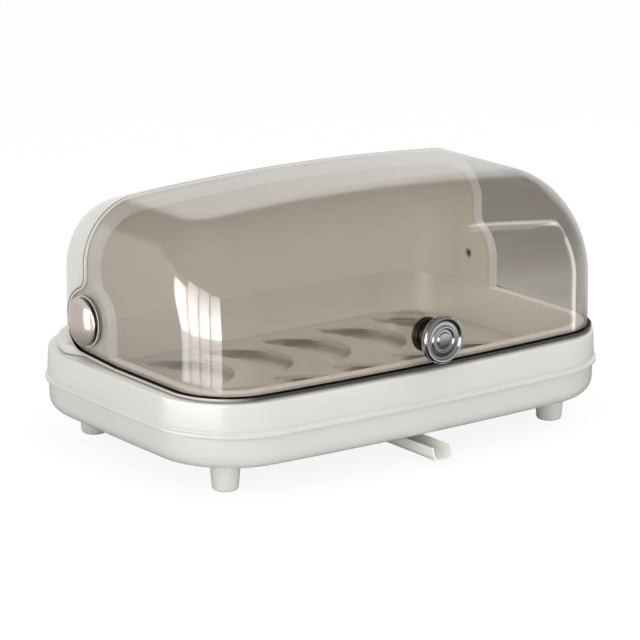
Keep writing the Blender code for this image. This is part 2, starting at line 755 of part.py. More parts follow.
def make_tray(parts, beige):
    """Drip tray: one skin from the skirt of its flat rim to the outlet, with a seat for the rack."""
    seat = PARTING_HEIGHT + TRAY_SEAT
    floor = PARTING_HEIGHT + TRAY_FLOOR
    side = TRAY_SIDE
    inner_seat = side + TRAY_SEAT_WIDTH
    spread = PAN_ROUND
    funnel = floor - TRAY_FALL
    tip = funnel - OUTLET_DROP
    wall = TRAY_FLOOR_WALL
    loops = [
        tray_loop(CHAMFER, TRAY_TOP),
        tray_loop(LINER_INSET - CHAMFER, TRAY_TOP),
        tray_loop(LINER_INSET, TRAY_TOP - CHAMFER),
        tray_loop(side - CHAMFER, seat + RACK_THICK),
        tray_loop(side, seat),
        tray_loop(inner_seat, seat),
        tray_loop(inner_seat + CHAMFER, seat - CHAMFER),
        tray_loop(inner_seat + CHAMFER * 2, floor + CHAMFER * 2),
        tray_loop(inner_seat + spread / 4, floor),
        outlet_loop(OUTLET_FUNNEL, funnel + CHAMFER),
        outlet_loop(OUTLET_BORE + CHAMFER, funnel - CHAMFER),
        outlet_loop(OUTLET_BORE, funnel - CHAMFER * 2),
        outlet_loop(OUTLET_BORE, tip),
        outlet_loop(OUTLET_BORE + OUTLET_WALL, tip),
        outlet_loop(OUTLET_BORE + OUTLET_WALL, funnel - wall - CHAMFER * 2),
        outlet_loop(OUTLET_FUNNEL, funnel - wall),
        tray_loop(inner_seat + spread / 4 - CHAMFER, floor - wall),
        tray_loop(inner_seat + CHAMFER * 2 - wall, floor + CHAMFER * 2 - wall),
        tray_loop(inner_seat + CHAMFER - wall, seat - wall),
        tray_loop(side - TRAY_WALL, seat - wall),
        tray_loop(side - TRAY_WALL - CHAMFER, seat + RACK_THICK),
        tray_loop(LINER_INSET - TRAY_WALL, TRAY_TOP - TRAY_WALL - CHAMFER),
        tray_loop(TRAY_WALL, TRAY_TOP - TRAY_WALL),
        tray_loop(TRAY_WALL, TRAY_TOP - SKIRT_DROP),
        tray_loop(0.0, TRAY_TOP - SKIRT_DROP),
        tray_loop(0.0, TRAY_TOP - CHAMFER),
    ]
    add_object("drip_tray", loft("drip_tray", loops, ring=True), beige, parts)


def slot_outline(tail_x, centre_y):
    """Crescent slot: a round outer side, a rippled hollow side and a short square tail."""
    tip = math.radians(SLOT_TIP_ANGLE)
    head = math.radians(SLOT_HEAD_ANGLE)
    outer = arc((tail_x + SLOT_SHIFT, centre_y), SLOT_RADIUS, head, tip, SLOT_STEPS)
    tail_low = SLOT_RADIUS - SLOT_TAIL
    start_x, start_y = outer[-1]
    end = (outer[0][0] - SLOT_SHIFT, centre_y + tail_low)
    inner = []
    steps = RIPPLE_STEPS * SLOT_RIPPLES
    for step in range(1, steps + 1):
        share = step / steps
        x = start_x + (end[0] - start_x) * share + SLOT_BULGE * math.sin(math.pi * share)
        x += SLOT_RIPPLE * math.sin(math.tau * SLOT_RIPPLES * share)
        inner.append((x, start_y + (end[1] - start_y) * share))
    return outer + inner


def slot_tails():
    """X of each slot's tail in a row, the row centred on the rack."""
    first = RACK_SIDE_BAR - RACK_LENGTH / 2
    return [first + SLOT_PITCH * step for step in range(SLOT_COUNT)]


def make_rack(rack_home, beige):
    """Drain rack with two rows of crescent slots; its frame of reference is its underside."""
    outer = tray_outline(RACK_INSET)
    holes = [slot_outline(x, y) for y in SLOT_ROW_CENTRES for x in slot_tails()]
    rack = plate_with_holes("drain_rack", outer, holes, 0.0, RACK_THICK)
    add_object("drain_rack", rack, beige, rack_home)


def cover_side_view(set_back):
    """Side view of the rear cover with its ear, its front edges set back by a distance."""
    edge = EAR_FRONT_EDGE + set_back
    upper = COVER_FRONT_EDGE + set_back
    radius = PIVOT_Y - edge
    fillet = EAR_FILLET + set_back
    fillet_y = upper - fillet
    rise = math.sqrt((radius + fillet) ** 2 - (PIVOT_Y - fillet_y) ** 2)
    fillet_z = PIVOT_HEIGHT + rise
    meet = math.atan2(rise, fillet_y - PIVOT_Y)
    lobe = arc((PIVOT_Y, PIVOT_HEIGHT), radius, math.pi, meet, ARC_STEPS)
    bend = arc((fillet_y, fillet_z), fillet, meet + math.pi, math.tau, ROUND_STEPS)
    below = COVER_BOTTOM - 2 * OVERRUN
    top = PARTING_HEIGHT + LID_TOP + OVERRUN
    back = COVER_REAR + OVERRUN
    return [(back, below), (edge, below), *lobe, *bend[1:], (upper, top), (back, top)]


def cover_dome(offset, front, foot):
    """Solid inside the rear cover's outer surface, drawn in by an offset."""
    return dome(
        "cover_dome",
        COVER_HALF_LENGTH - offset,
        COVER_END_RADIUS - offset,
        COVER_REAR_CORNER - offset,
        cover_section(offset, front, foot),
        COVER_REAR_BOW,
        LID_CROWN,
    )


def cover_skirt():
    """Foot of the rear cover: stands out over the rear ledge and ducks under the lid's lobes."""
    foot = COVER_BOTTOM
    low = LEDGE_TOP + LEDGE_RISE + SEAT
    gap = LID_OPENING_GAP / 2
    proud = COVER_SKIRT_PROUD
    ring = loft(
        "skirt",
        [
            tray_loop(-gap, low),
            tray_loop(-proud, low - LEDGE_RISE / 3),
            tray_loop(-proud, foot + COVER_SKIRT_TOP - CHAMFER),
            tray_loop(CHAMFER - proud, foot + COVER_SKIRT_TOP),
            tray_loop(COVER_WALL / 2, foot + COVER_SKIRT_TOP),
            tray_loop(COVER_WALL / 2, foot + CHAMFER / 2),
            tray_loop(-gap, foot + CHAMFER / 2),
        ],
        ring=True,
    )
    start, end = PIVOT_Y + COVER_SKIRT_LEAD, COVER_REAR + 2 * OVERRUN
    low, high = foot - 2 * OVERRUN, foot + OVERRUN
    rear = [(start, low), (end, low), (end, high), (start, high)]
    reach = COVER_HALF_LENGTH + 2 * OVERRUN
    ring = cut(ring, [prism("rear", rear, "X", -reach, reach)], "INTERSECT")
    clear = cylinder("clear", LOBE_RADIUS + LID_OPENING_GAP, -reach, reach, 4 * TURN_STEPS)
    return cut(ring, [aimed(clear, (1, 0, 0), (0.0, PIVOT_Y, PIVOT_HEIGHT))])


def make_cover(parts, white, beige):
    """Rear cover with returned front edges, bosses, skirt and tabs, and the liner inside it."""
    foot = COVER_BOTTOM
    below = foot - OVERRUN
    start = EAR_FRONT_EDGE - OVERRUN
    half = COVER_HALF_LENGTH
    reach = half + OVERRUN
    thin = COVER_WALL
    shell = cover_dome(0.0, start, foot)
    shell = cut(shell, [prism("view", cover_side_view(0.0), "X", -reach, reach)], "INTERSECT")
    hollow = cover_dome(thin, start - OVERRUN, below)
    hollow = cut(hollow, [prism("view", cover_side_view(thin), "X", -reach, reach)], "INTERSECT")
    mouth = cover_dome(LINER_INSET, start - OVERRUN, below)
    shell = cut(shell, [hollow])
    shell = cut(shell, [mouth])
    additions = [cover_skirt()]
    tab_low = LEDGE_TOP + LEDGE_RISE + SEAT + CHAMFER / 4
    for x, y in cover_screw_places():
        side, rear, front = COVER_TAB_WIDTH / 2, y + COVER_TAB_DEPTH / 2, y - COVER_TAB_DEPTH
        tab = [(x - side, front), (x + side, front), (x + side, rear), (x - side, rear)]
        additions.append(prism("tab", tab, "Z", tab_low, tab_low + COVER_TAB_THICK))
    for side in (-1, 1):
        boss = cylinder("boss", BOSS_RADIUS, -CHAMFER, BOSS_LENGTH, TURN_STEPS)
        place = (side * (half - thin), PIVOT_Y, PIVOT_HEIGHT)
        additions.append(aimed(boss, (-side, 0, 0), place))
    shell = cut(shell, additions, "UNION")
    cutters = []
    shank, stem = PIVOT_SCREW_SHANK + SEAT, STEM_RADIUS + SEAT
    end = BOSS_LENGTH + thin + OVERRUN
    for side in (-1, 1):
        bore = turned("bore", [
            (0.0, -OVERRUN), (shank, -OVERRUN), (shank, BOSS_WEB),
            (stem, BOSS_WEB), (stem, end), (0.0, end),
        ])
        place = (side * (half - thin - BOSS_LENGTH), PIVOT_Y, PIVOT_HEIGHT)
        cutters.append(aimed(bore, (side, 0, 0), place))
    for x, y in cover_screw_places():
        hole = cylinder("hole", SMALL_SCREW_SHANK + SEAT, LEDGE_TOP - OVERRUN, LEDGE_TOP + OVERRUN)
        cutters.append(aimed(hole, (0, 0, 1), (x, y, 0.0)))
    add_object("rear_cover", cut(shell, cutters), white, parts)

    liner = cover_dome(LINER_INSET - LINER_WALL, start, foot)
    view = prism("view", cover_side_view(thin + SEAT), "X", -reach, reach)
    liner = cut(liner, [view], "INTERSECT")
    liner = cut(liner, [cover_dome(LINER_INSET, start - OVERRUN, below)])
    cutters = []
    for side in (-1, 1):
        hole = cylinder("hole", PIVOT_SCREW_HEAD + SEAT, -OVERRUN, OVERRUN, TURN_STEPS)
        place = (side * (half - LINER_INSET), PIVOT_Y, PIVOT_HEIGHT)
        cutters.append(aimed(hole, (side, 0, 0), place))
    add_object("rear_liner", cut(liner, cutters), beige, parts)


def make_lid(hinge, smoke):
    """Smoked flip lid: domed shell, side outline with a lobe at each pivot, and foot flange."""
    foot = PARTING_HEIGHT + LID_FOOT - OVERRUN
    rear = PIVOT_Y + LOBE_RADIUS + OVERRUN
    bows = (LID_BOW, LID_CROWN)
    thin = LID_WALL
    radius = LID_END_RADIUS
    half = LID_HALF_LENGTH
    shell = dome("shell", half, radius, radius, lid_section(0.0, rear, foot), *bows)
    hollow = dome(
        "hollow", half - thin, radius - thin, radius - thin,
        lid_section(thin, rear + OVERRUN, foot - OVERRUN), *bows,
    )
    shell = cut(shell, [hollow])
    reach = half + OVERRUN
    shell = cut(shell, [prism("view", lid_outline(), "X", -reach, reach)], "INTERSECT")
    shell = cut(shell, [flange_bar()], "UNION")
    cutters = []
    for side in (-1, 1):
        hole = cylinder("hole", PIVOT_HOLE_RADIUS, 0.0, 2 * OVERRUN, TURN_STEPS)
        place = (side * (half - OVERRUN), PIVOT_Y, PIVOT_HEIGHT)
        cutters.append(aimed(hole, (side, 0, 0), place))
    hole = cylinder("hole", KNOB_HOLE_RADIUS, 0.0, 2 * OVERRUN)
    cutters.append(aimed(hole, (0, -1, 0), (0.0, OVERRUN - LID_FRONT, PARTING_HEIGHT + KNOB_HEIGHT)))
    shell = cut(shell, cutters)
    place_on_hinge("lid", shell, smoke, hinge)


def place_on_hinge(name, mesh, material, hinge):
    """Adds a mesh made in the base's frame under the hinge's empty."""
    mesh.transform(Matrix.Translation((0.0, -PIVOT_Y, -PIVOT_HEIGHT)))
    return add_object(name, mesh, material, hinge)


def make_pivots(parts, chrome, dark, nylon, steel):
    """Bush, washer, chrome cap and screw at each end of the pivot line."""
    face = LID_HALF_LENGTH + SEAT
    bush_low = COVER_HALF_LENGTH + SEAT
    bush_high = face + BUSH_PROUD
    washer_high = face + WASHER_THICK
    cap_low = washer_high + SEAT
    neck_high = cap_low + CAP_NECK_HEIGHT
    cap_high = cap_low + CAP_THICK
    boss_end = COVER_HALF_LENGTH - COVER_WALL - BOSS_LENGTH
    stem_low = boss_end + BOSS_WEB + SEAT
    head_low = COVER_HALF_LENGTH - LINER_INSET + SEAT
    head_high = boss_end - SEAT
    tip = head_high + PIVOT_SCREW_LENGTH
    bush_outer = PIVOT_HOLE_RADIUS - SEAT
    for side, word in ((-1, "left"), (1, "right")):
        centre = (0.0, PIVOT_Y, PIVOT_HEIGHT)
        bush = turned("bush", [
            (BUSH_BORE_RADIUS, bush_low), (bush_outer, bush_low),
            (bush_outer, bush_high), (BUSH_BORE_RADIUS, bush_high),
        ])
        washer = turned("washer", [
            (PIVOT_HOLE_RADIUS + SEAT, face), (WASHER_RADIUS - CHAMFER, face),
            (WASHER_RADIUS, face + WASHER_THICK / 2),
            (WASHER_RADIUS - CHAMFER, washer_high), (PIVOT_HOLE_RADIUS + SEAT, washer_high),
        ])
        crown = arc(
            (CAP_RADIUS - CAP_ROUND, cap_high - CAP_DOME - CAP_ROUND), CAP_ROUND,
            0.0, math.radians(80), ROUND_STEPS - 1,
        )
        bore = PIVOT_SCREW_SHANK + SEAT
        cap = turned("cap", [
            (0.0, tip + SEAT), (bore, tip + SEAT), (bore, stem_low), (STEM_RADIUS, stem_low),
            (STEM_RADIUS, cap_low), (CAP_NECK_RADIUS, cap_low), (CAP_NECK_RADIUS, neck_high),
            (CAP_RADIUS - CHAMFER, neck_high), (CAP_RADIUS, neck_high + CHAMFER), *crown,
            (CAP_RADIUS / 2, cap_high - CAP_DOME / 4), (0.0, cap_high),
        ])
        screw = screw_mesh(PIVOT_SCREW_HEAD, PIVOT_SCREW_SHANK, head_low, head_high, tip)
        for name, mesh, material in (
            ("pivot_bush_", bush, nylon),
            ("pivot_washer_", washer, dark),
            ("pivot_cap_", cap, chrome),
            ("pivot_screw_", screw, steel),
        ):
            add_object(name + word, aimed(mesh, (side, 0, 0), centre), material, parts)


def make_knob(hinge, chrome, dark, steel):
    """Knob on the lid: ringed head, stepped collar, and the washer and screw behind."""
    height = PARTING_HEIGHT + KNOB_HEIGHT
    lean = (KNOB_HEIGHT - LID_FOOT) * math.tan(LID_LEAN)
    wall = LID_FRONT - lean
    collar_low = wall + SEAT
    head_low = KNOB_REACH - KNOB_HEAD_DEPTH
    collar_high = head_low - SEAT
    washer_high = wall - LID_WALL - SEAT
    washer_low = washer_high - KNOB_WASHER_THICK
    head_end = washer_low - SEAT
    screw_low = head_end - KNOB_SCREW_HEAD_THICK
    tip = head_end + KNOB_SCREW_LENGTH
    centre = (0.0, 0.0, height)
    bore = KNOB_BORE_RADIUS
    collar = turned("collar", [
        (bore, collar_low), (COLLAR_RADIUS - CHAMFER, collar_low),
        (COLLAR_RADIUS, collar_low + CHAMFER), (COLLAR_RADIUS, collar_low + COLLAR_FLANGE - CHAMFER),
        (COLLAR_RADIUS - CHAMFER, collar_low + COLLAR_FLANGE),
        (COLLAR_NECK_RADIUS + CHAMFER, collar_low + COLLAR_FLANGE),
        (COLLAR_NECK_RADIUS, collar_low + COLLAR_FLANGE + CHAMFER),
        (COLLAR_NECK_RADIUS, collar_high), (bore, collar_high),
    ])
    rim = KNOB_RADIUS
    deep = KNOB_REACH - KNOB_RING_DEPTH
    ring_shares = (0.86, 0.72, 0.60, 0.48, 0.36, 0.24)
    rings = []
    for index, share in enumerate(ring_shares):
        level = deep if index % 2 else KNOB_REACH - KNOB_RING_DEPTH / 4
        rings.append((rim * share, level))
    head = turned("head", [
        (0.0, tip + SEAT), (bore, tip + SEAT), (bore, head_low),
        (COLLAR_NECK_RADIUS + CHAMFER, head_low),
        (rim - KNOB_RING_DEPTH, head_low + KNOB_HEAD_DEPTH / 3),
        (rim - CHAMFER / 2, head_low + KNOB_HEAD_DEPTH / 2),
        (rim, KNOB_REACH - KNOB_RING_DEPTH * 2), (rim - CHAMFER / 2, KNOB_REACH - CHAMFER * 2),
        (rim - CHAMFER * 2, KNOB_REACH), *rings, (0.0, KNOB_REACH - KNOB_RING_DEPTH / 2),
    ], TURN_STEPS + CORNER_STEPS)
    washer = turned("washer", [
        (bore, washer_low), (KNOB_WASHER_RADIUS, washer_low),
        (KNOB_WASHER_RADIUS, washer_high), (bore, washer_high),
    ])
    screw = screw_mesh(KNOB_SCREW_HEAD, KNOB_SCREW_SHANK, screw_low, head_end, tip)
    for name, mesh, material in (
        ("knob_collar", collar, dark), ("knob_head", head, chrome),
        ("knob_washer", washer, dark), ("knob_screw", screw, steel),
    ):
        place_on_hinge(name, aimed(mesh, (0, -1, 0), centre), material, hinge)


def make_feet(parts, white, steel):
    """Four tapered feet, each held to a boss of the pan by a screw from below."""
    top = PAN_BOTTOM - SEAT
    bend = arc(
        (FOOT_END_RADIUS - FOOT_ROUND, FOOT_ROUND), FOOT_ROUND, -math.pi / 2, 0.0, ROUND_STEPS - 1
    )
    bore = FOOT_BORE_RADIUS
    foot = turned("foot", [
        (bore, FOOT_RECESS_DEPTH), (FOOT_RECESS_RADIUS, FOOT_RECESS_DEPTH),
        (FOOT_RECESS_RADIUS, 0.0), *bend, (FOOT_TOP_RADIUS, top), (bore, top),
    ])
    head_high = FOOT_RECESS_DEPTH - SEAT
    head_low = head_high - FOOT_SCREW_HEAD_THICK
    tip = PAN_BOTTOM + FOOT_SCREW_BITE
    screw = screw_mesh(FOOT_SCREW_HEAD, FOOT_SCREW_SHANK, head_low, head_high, tip)
    words = ("front_left", "front_right", "rear_left", "rear_right")
    for word, (x, y) in zip(words, foot_places()):
        for name, mesh, material in (("foot_", foot, white), ("foot_screw_", screw, steel)):
            item = add_object(name + word, mesh.copy(), material, parts)
            item.location = (x, y, 0.0)


def make_spout(parts, spout_home, white, steel):
    """Open spout, the rails it slides in, and the two screws of the rails."""
    rim = PARTING_HEIGHT - SPOUT_RIM_DROP
    half = SPOUT_WIDTH / 2
    inner = half - SPOUT_WALL
    corner = SPOUT_DEPTH / 2
    low = rim - SPOUT_DEPTH
    outer_right = arc((half - corner, low + corner), corner, 0.0, -math.pi / 2, ROUND_STEPS)
    outer_left = arc((corner - half, low + corner), corner, -math.pi / 2, -math.pi, ROUND_STEPS)
    tight = corner - SPOUT_WALL
    inner_left = arc((corner - half, low + corner), tight, math.pi, math.pi * 3 / 2, ROUND_STEPS)
    inner_right = arc((half - corner, low + corner), tight, -math.pi / 2, 0.0, ROUND_STEPS)
    section = [
        (half, rim), *outer_right, *outer_left, (-half, rim), (-inner, rim),
        *inner_left, *inner_right, (inner, rim),
    ]
    channel = prism("spout", section, "Y", -SPOUT_TIP, SPOUT_LENGTH - SPOUT_TIP)
    lips = []
    for side in (-1, 1):
        edge = [
            (side * (half - SPOUT_WALL / 2), rim - SPOUT_LIP_THICK),
            (side * (half + SPOUT_LIP_WIDTH), rim - SPOUT_LIP_THICK),
            (side * (half + SPOUT_LIP_WIDTH), rim - CHAMFER / 4),
            (side * (half - SPOUT_WALL / 2), rim - CHAMFER / 4),
        ]
        rear = SPOUT_LENGTH - SPOUT_TIP - CHAMFER
        lips.append(prism("lip", edge, "Y", SPOUT_LIP_SETBACK - SPOUT_TIP, rear))
    channel = cut(channel, lips, "UNION")
    item = add_object("spout", channel, white, spout_home)
    item.location = (OUTLET_X, 0.0, 0.0)

    top = PAN_BOTTOM - SEAT
    plate = top - GUIDE_PLATE
    groove_top = rim + GUIDE_SLACK
    groove_low = rim - SPOUT_LIP_THICK - GUIDE_SLACK
    toe_low = groove_low - GUIDE_TOE
    mouth = half + GUIDE_SLACK
    groove = half + SPOUT_LIP_WIDTH + GUIDE_SLACK
    web = groove + GUIDE_WEB
    wing = web + GUIDE_TAB
    right = [
        (mouth, plate), (mouth, groove_top), (groove, groove_top), (groove, groove_low),
        (mouth, groove_low), (mouth, toe_low), (web, toe_low), (web, plate), (wing, plate),
    ]
    section = [(-x, z) for x, z in reversed(right)] + right + [(wing, top), (-wing, top)]
    front = -GUIDE_FRONT
    guide = prism("guide", section, "Y", front, front + GUIDE_LENGTH)
    cutters = []
    for x, y in guide_screw_places():
        hole = cylinder("hole", SMALL_SCREW_SHANK + SEAT, plate - OVERRUN, top + OVERRUN)
        cutters.append(aimed(hole, (0, 0, 1), (x - OUTLET_X, y, 0.0)))
    outlet = cylinder("hole", OUTLET_BORE + OUTLET_WALL + LID_OPENING_GAP, plate - OVERRUN, top + OVERRUN)
    cutters.append(aimed(outlet, (0, 0, 1), (0.0, OUTLET_Y, 0.0)))
    guide = cut(guide, cutters)
    item = add_object("spout_guide", guide, white, parts)
    item.location = (OUTLET_X, 0.0, 0.0)

    seat = plate - SEAT
    tip = PAN_BOTTOM + SMALL_SCREW_BITE
    screw = screw_mesh(SMALL_SCREW_HEAD, SMALL_SCREW_SHANK, seat - SMALL_SCREW_HEAD_THICK, seat, tip)
    for word, (x, y) in zip(("left", "right"), guide_screw_places()):
        item = add_object("guide_screw_" + word, screw.copy(), steel, parts)
        item.location = (x, y, 0.0)


def make_cover_screws(parts, steel):
    """Two screws that hold the rear cover's tabs down on the frame's rear ledge."""
    seat = LEDGE_TOP + LEDGE_RISE + COVER_TAB_THICK + 2 * SEAT
    tip = LEDGE_TOP - LEDGE_THICK
    screw = screw_mesh(SMALL_SCREW_HEAD, SMALL_SCREW_SHANK, seat + SMALL_SCREW_HEAD_THICK, seat, tip)
    for word, (x, y) in zip(("left", "right"), cover_screw_places()):
        item = add_object("cover_screw_" + word, screw.copy(), steel, parts)
        item.location = (x, y, 0.0)


def build():
    """Builds the whole object."""
    clear_scene()
    white = make_material("ivory_abs", (0.760, 0.752, 0.716), 0.28)
    beige = make_material("beige_pp", (0.640, 0.610, 0.540), 0.38)
    smoke = make_material("smoked_styrene", (0.420, 0.385, 0.335), 0.04, alpha=0.45)
    chrome = make_material("satin_chrome", (0.60, 0.60, 0.60), 0.16, 1.0)
    dark = make_material("black_nylon", (0.012, 0.012, 0.012), 0.35)
    nylon = make_material("natural_nylon", (0.66, 0.64, 0.58), 0.45)
    steel = make_material("zinc_steel", (0.50, 0.50, 0.49), 0.32, 1.0)
    parts = add_empty("placement", (0.0, SHIFT_Y, 0.0))
    hinge = add_empty("lid_hinge_axis", (0.0, PIVOT_Y, PIVOT_HEIGHT), parts)
    rack_home = add_empty("rack_seat", (0.0, 0.0, PARTING_HEIGHT + TRAY_SEAT + SEAT), parts)
    spout_home = add_empty("spout_slide_line", (0.0, 0.0, 0.0), parts)
    make_base(parts, white)
    make_tray(parts, beige)
    make_rack(rack_home, beige)
    make_cover(parts, white, beige)
    make_lid(hinge, smoke)
    make_pivots(parts, chrome, dark, nylon, steel)
    make_knob(hinge, chrome, dark, steel)
    make_feet(parts, white, steel)
    make_spout(parts, spout_home, white, steel)
    make_cover_screws(parts, steel)


build()
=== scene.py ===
"""Dressed model of a dish storage box: ivory base, smoked flip lid, fixed rear cover, drain rack.

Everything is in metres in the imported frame: +Z up, -Y to the front, the floor at zero. The
classes follow the way the object is put together. Their builders work from the middle of the
base's plan, and SHIFT_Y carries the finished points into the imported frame.
"""
import json
import logging
import math
from abc import ABC, abstractmethod
from dataclasses import dataclass, field
from enum import Enum
from typing import Any, Iterable, Sequence

import bmesh
import bpy
import numpy as np
from mathutils import Matrix, Vector

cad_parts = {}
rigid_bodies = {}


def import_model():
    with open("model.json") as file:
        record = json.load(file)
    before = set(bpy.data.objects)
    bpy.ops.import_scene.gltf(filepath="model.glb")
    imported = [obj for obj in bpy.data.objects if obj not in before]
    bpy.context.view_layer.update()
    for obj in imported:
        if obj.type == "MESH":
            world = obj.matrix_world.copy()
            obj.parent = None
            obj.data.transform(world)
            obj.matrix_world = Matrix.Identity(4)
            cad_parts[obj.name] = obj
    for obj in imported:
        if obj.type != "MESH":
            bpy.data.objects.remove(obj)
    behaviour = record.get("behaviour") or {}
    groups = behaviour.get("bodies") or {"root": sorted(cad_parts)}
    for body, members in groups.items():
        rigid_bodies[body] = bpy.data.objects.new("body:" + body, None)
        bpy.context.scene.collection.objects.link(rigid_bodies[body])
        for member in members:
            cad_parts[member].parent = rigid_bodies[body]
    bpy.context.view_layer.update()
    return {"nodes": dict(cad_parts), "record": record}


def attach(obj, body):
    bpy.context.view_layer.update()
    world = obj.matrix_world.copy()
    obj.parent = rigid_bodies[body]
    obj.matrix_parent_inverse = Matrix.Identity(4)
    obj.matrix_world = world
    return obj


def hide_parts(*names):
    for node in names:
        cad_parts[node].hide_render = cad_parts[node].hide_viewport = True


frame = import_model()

LOG = logging.getLogger("dish_box")

Array = np.ndarray
Pair = tuple[float, float]
Triple = tuple[float, float, float]
Four = tuple[float, float, float, float]

MM = 0.001
# From the middle of the base's plan to the frame's origin
SHIFT_Y = 8.05 * MM
# Height of the line between pan and band, from which the builders count heights
PARTING = 53.6 * MM
# Line that the lid turns about, along X
PIVOT_Y = 49.0 * MM
PIVOT_Z = PARTING + 62.5 * MM
# Middle of the tray's outlet, over the spout
OUTLET = (7.0 * MM, -62.0 * MM)
# Radius of the screw holes in the feet, the knob and its collar
SCREW_BORE = 2.3 * MM
# Gap between pieces that rest on each other
SEAT = 0.3 * MM
# Points closer than this are one point
MERGE = 0.002 * MM
# How far a cutter for a hole reaches to each side of the wall
HOLE_REACH = 8.0 * MM
# Parts that a plan's corner and side, a dome's end and middle and a full turn are divided into
CORNER_STEPS = 22
RUN_STEPS = 30
STATION_STEPS = 40
CROWN_STEPS = 18
TURN_STEPS = 96
SHARP_ANGLE = math.radians(38)
SIDES = ((-1, "left"), (1, "right"))


class Body(Enum):
    """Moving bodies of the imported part."""

    BASE = "base"
    LID = "flip_lid"
    RACK = "rack"
    SPOUT = "pull_spout"


class Slot(Enum):
    """Material slots of the record."""

    IVORY = "ivory_abs"
    BEIGE = "beige_pp"
    SMOKE = "smoked_styrene"
    CHROME = "satin_chrome"
    BLACK = "black_nylon"
    NYLON = "natural_nylon"
    STEEL = "zinc_steel"


def linear(hex_code: str) -> Four:
    """Turns an sRGB hex value into the linear colour that shader sockets take.

    Args:
        hex_code: six hex digits.

    Returns:
        Linear red, green, blue and an alpha of one.
    """
    shares = np.array([int(hex_code[i:i + 2], 16) for i in (0, 2, 4)]) / 255.0
    high = ((shares + 0.055) / 1.055) ** 2.4
    red, green, blue = np.where(shares <= 0.04045, shares / 12.92, high)
    return float(red), float(green), float(blue), 1.0


def add_node(
    tree: bpy.types.NodeTree,
    kind: str,
    settings: dict[str | int, Any] | None = None,
    links: dict[str | int, Any] | None = None,
) -> bpy.types.Node:
    """Adds a node, sets its properties and socket values, and joins its inputs.

    Args:
        tree: the node tree.
        kind: Blender's name of the node type.
        settings: property names, or input names or indices, with their values.
        links: input names or indices with the socket, or the node by its first output, that
            feeds them.

    Returns:
        The new node.
    """
    node = tree.nodes.new(kind)
    for key, value in (settings or {}).items():
        if isinstance(key, str) and hasattr(node, key):
            setattr(node, key, value)
        else:
            node.inputs[key].default_value = value
    for key, source in (links or {}).items():
        socket = source.outputs[0] if isinstance(source, bpy.types.Node) else source
        tree.links.new(socket, node.inputs[key])
    return node


@dataclass(frozen=True)
class Finish(ABC):
    """A finish: a named material, whose shader each kind of finish builds in its own way."""

    name: str

    def material(self) -> bpy.types.Material:
        """Builds the node material.

        Returns:
            The finished material.
        """
        material = bpy.data.materials.new(self.name)
        material.use_nodes = True
        tree = material.node_tree
        tree.nodes.clear()
        place = add_node(tree, "ShaderNodeTexCoord").outputs["Object"]
        shader = self.shader(tree, place)
        add_node(tree, "ShaderNodeOutputMaterial", {}, {"Surface": shader})
        return material

    @abstractmethod
    def shader(self, tree: bpy.types.NodeTree, place: bpy.types.NodeSocket) -> bpy.types.Node:
        """Adds the shader and the nodes that feed it.

        Args:
            tree: the material's node tree.
            place: socket with the place on the object.

        Returns:
            The shader.
        """


@dataclass(frozen=True)
class Marks:
    """Fine marks of a skin: one noise that varies its roughness and lifts it a little.

    Least and most are the noise's values that stand for the smoothest and the dullest spots.
    """

    size: float
    detail: float
    contrast: float = 0.5
    least: float = 0.0
    most: float = 1.0
    strength: float = 0.2
    relief: float = 0.01 * MM

    def feed(
        self, tree: bpy.types.NodeTree, place: bpy.types.NodeSocket, smooth: float, dull: float
    ) -> dict[str, bpy.types.Node]:
        """Adds the noise, the roughness and the bump that it gives.

        Args:
            tree: the material's node tree.
            place: socket with the place on the object.
            smooth: roughness where the noise is at its least.
            dull: roughness where the noise is at its most.

        Returns:
            What feeds the Roughness and Normal of a shader.
        """
        marks = add_node(
            tree, "ShaderNodeTexNoise",
            {"Scale": 1 / self.size, "Detail": self.detail, "Roughness": self.contrast},
            {"Vector": place},
        )
        rough = add_node(
            tree, "ShaderNodeMapRange",
            {"From Min": self.least, "From Max": self.most, "To Min": smooth, "To Max": dull},
            {"Value": marks},
        )
        bump = add_node(
            tree, "ShaderNodeBump", {"Strength": self.strength, "Distance": self.relief},
            {"Height": marks},
        )
        return {"Roughness": rough, "Normal": bump}


@dataclass(frozen=True)
class MouldedPlastic(Finish):
    """Injection moulded plastic: even colour, faint flow marks and a fine moulded skin."""

    colour: str
    flow_colour: str
    roughness: float
    spread: float
    coat: float
    coat_roughness: float
    ior: float
    skin: float
    flow: float = 60 * MM
    relief: float = 0.012 * MM

    def shader(self, tree: bpy.types.NodeTree, place: bpy.types.NodeSocket) -> bpy.types.Node:
        """Coated plastic whose two shades run into each other along the flow.

        Args:
            tree: the material's node tree.
            place: socket with the place on the object.

        Returns:
            The shader.
        """
        flow = add_node(
            tree, "ShaderNodeTexNoise",
            {"Scale": 1 / self.flow, "Detail": 3.0, "Roughness": 0.5, "Distortion": 0.6},
            {"Vector": place},
        )
        colour = add_node(
            tree, "ShaderNodeMix",
            {"data_type": "RGBA", 6: linear(self.colour), 7: linear(self.flow_colour)}, {0: flow},
        )
        skin = Marks(
            self.skin, detail=2.0, contrast=0.55, least=0.3, most=0.7, strength=0.35,
            relief=self.relief,
        ).feed(tree, place, self.roughness - self.spread, self.roughness + self.spread)
        return add_node(
            tree, "ShaderNodeBsdfPrincipled",
            {"IOR": self.ior, "Coat Weight": self.coat, "Coat Roughness": self.coat_roughness},
            {"Base Color": colour.outputs[2], **skin},
        )


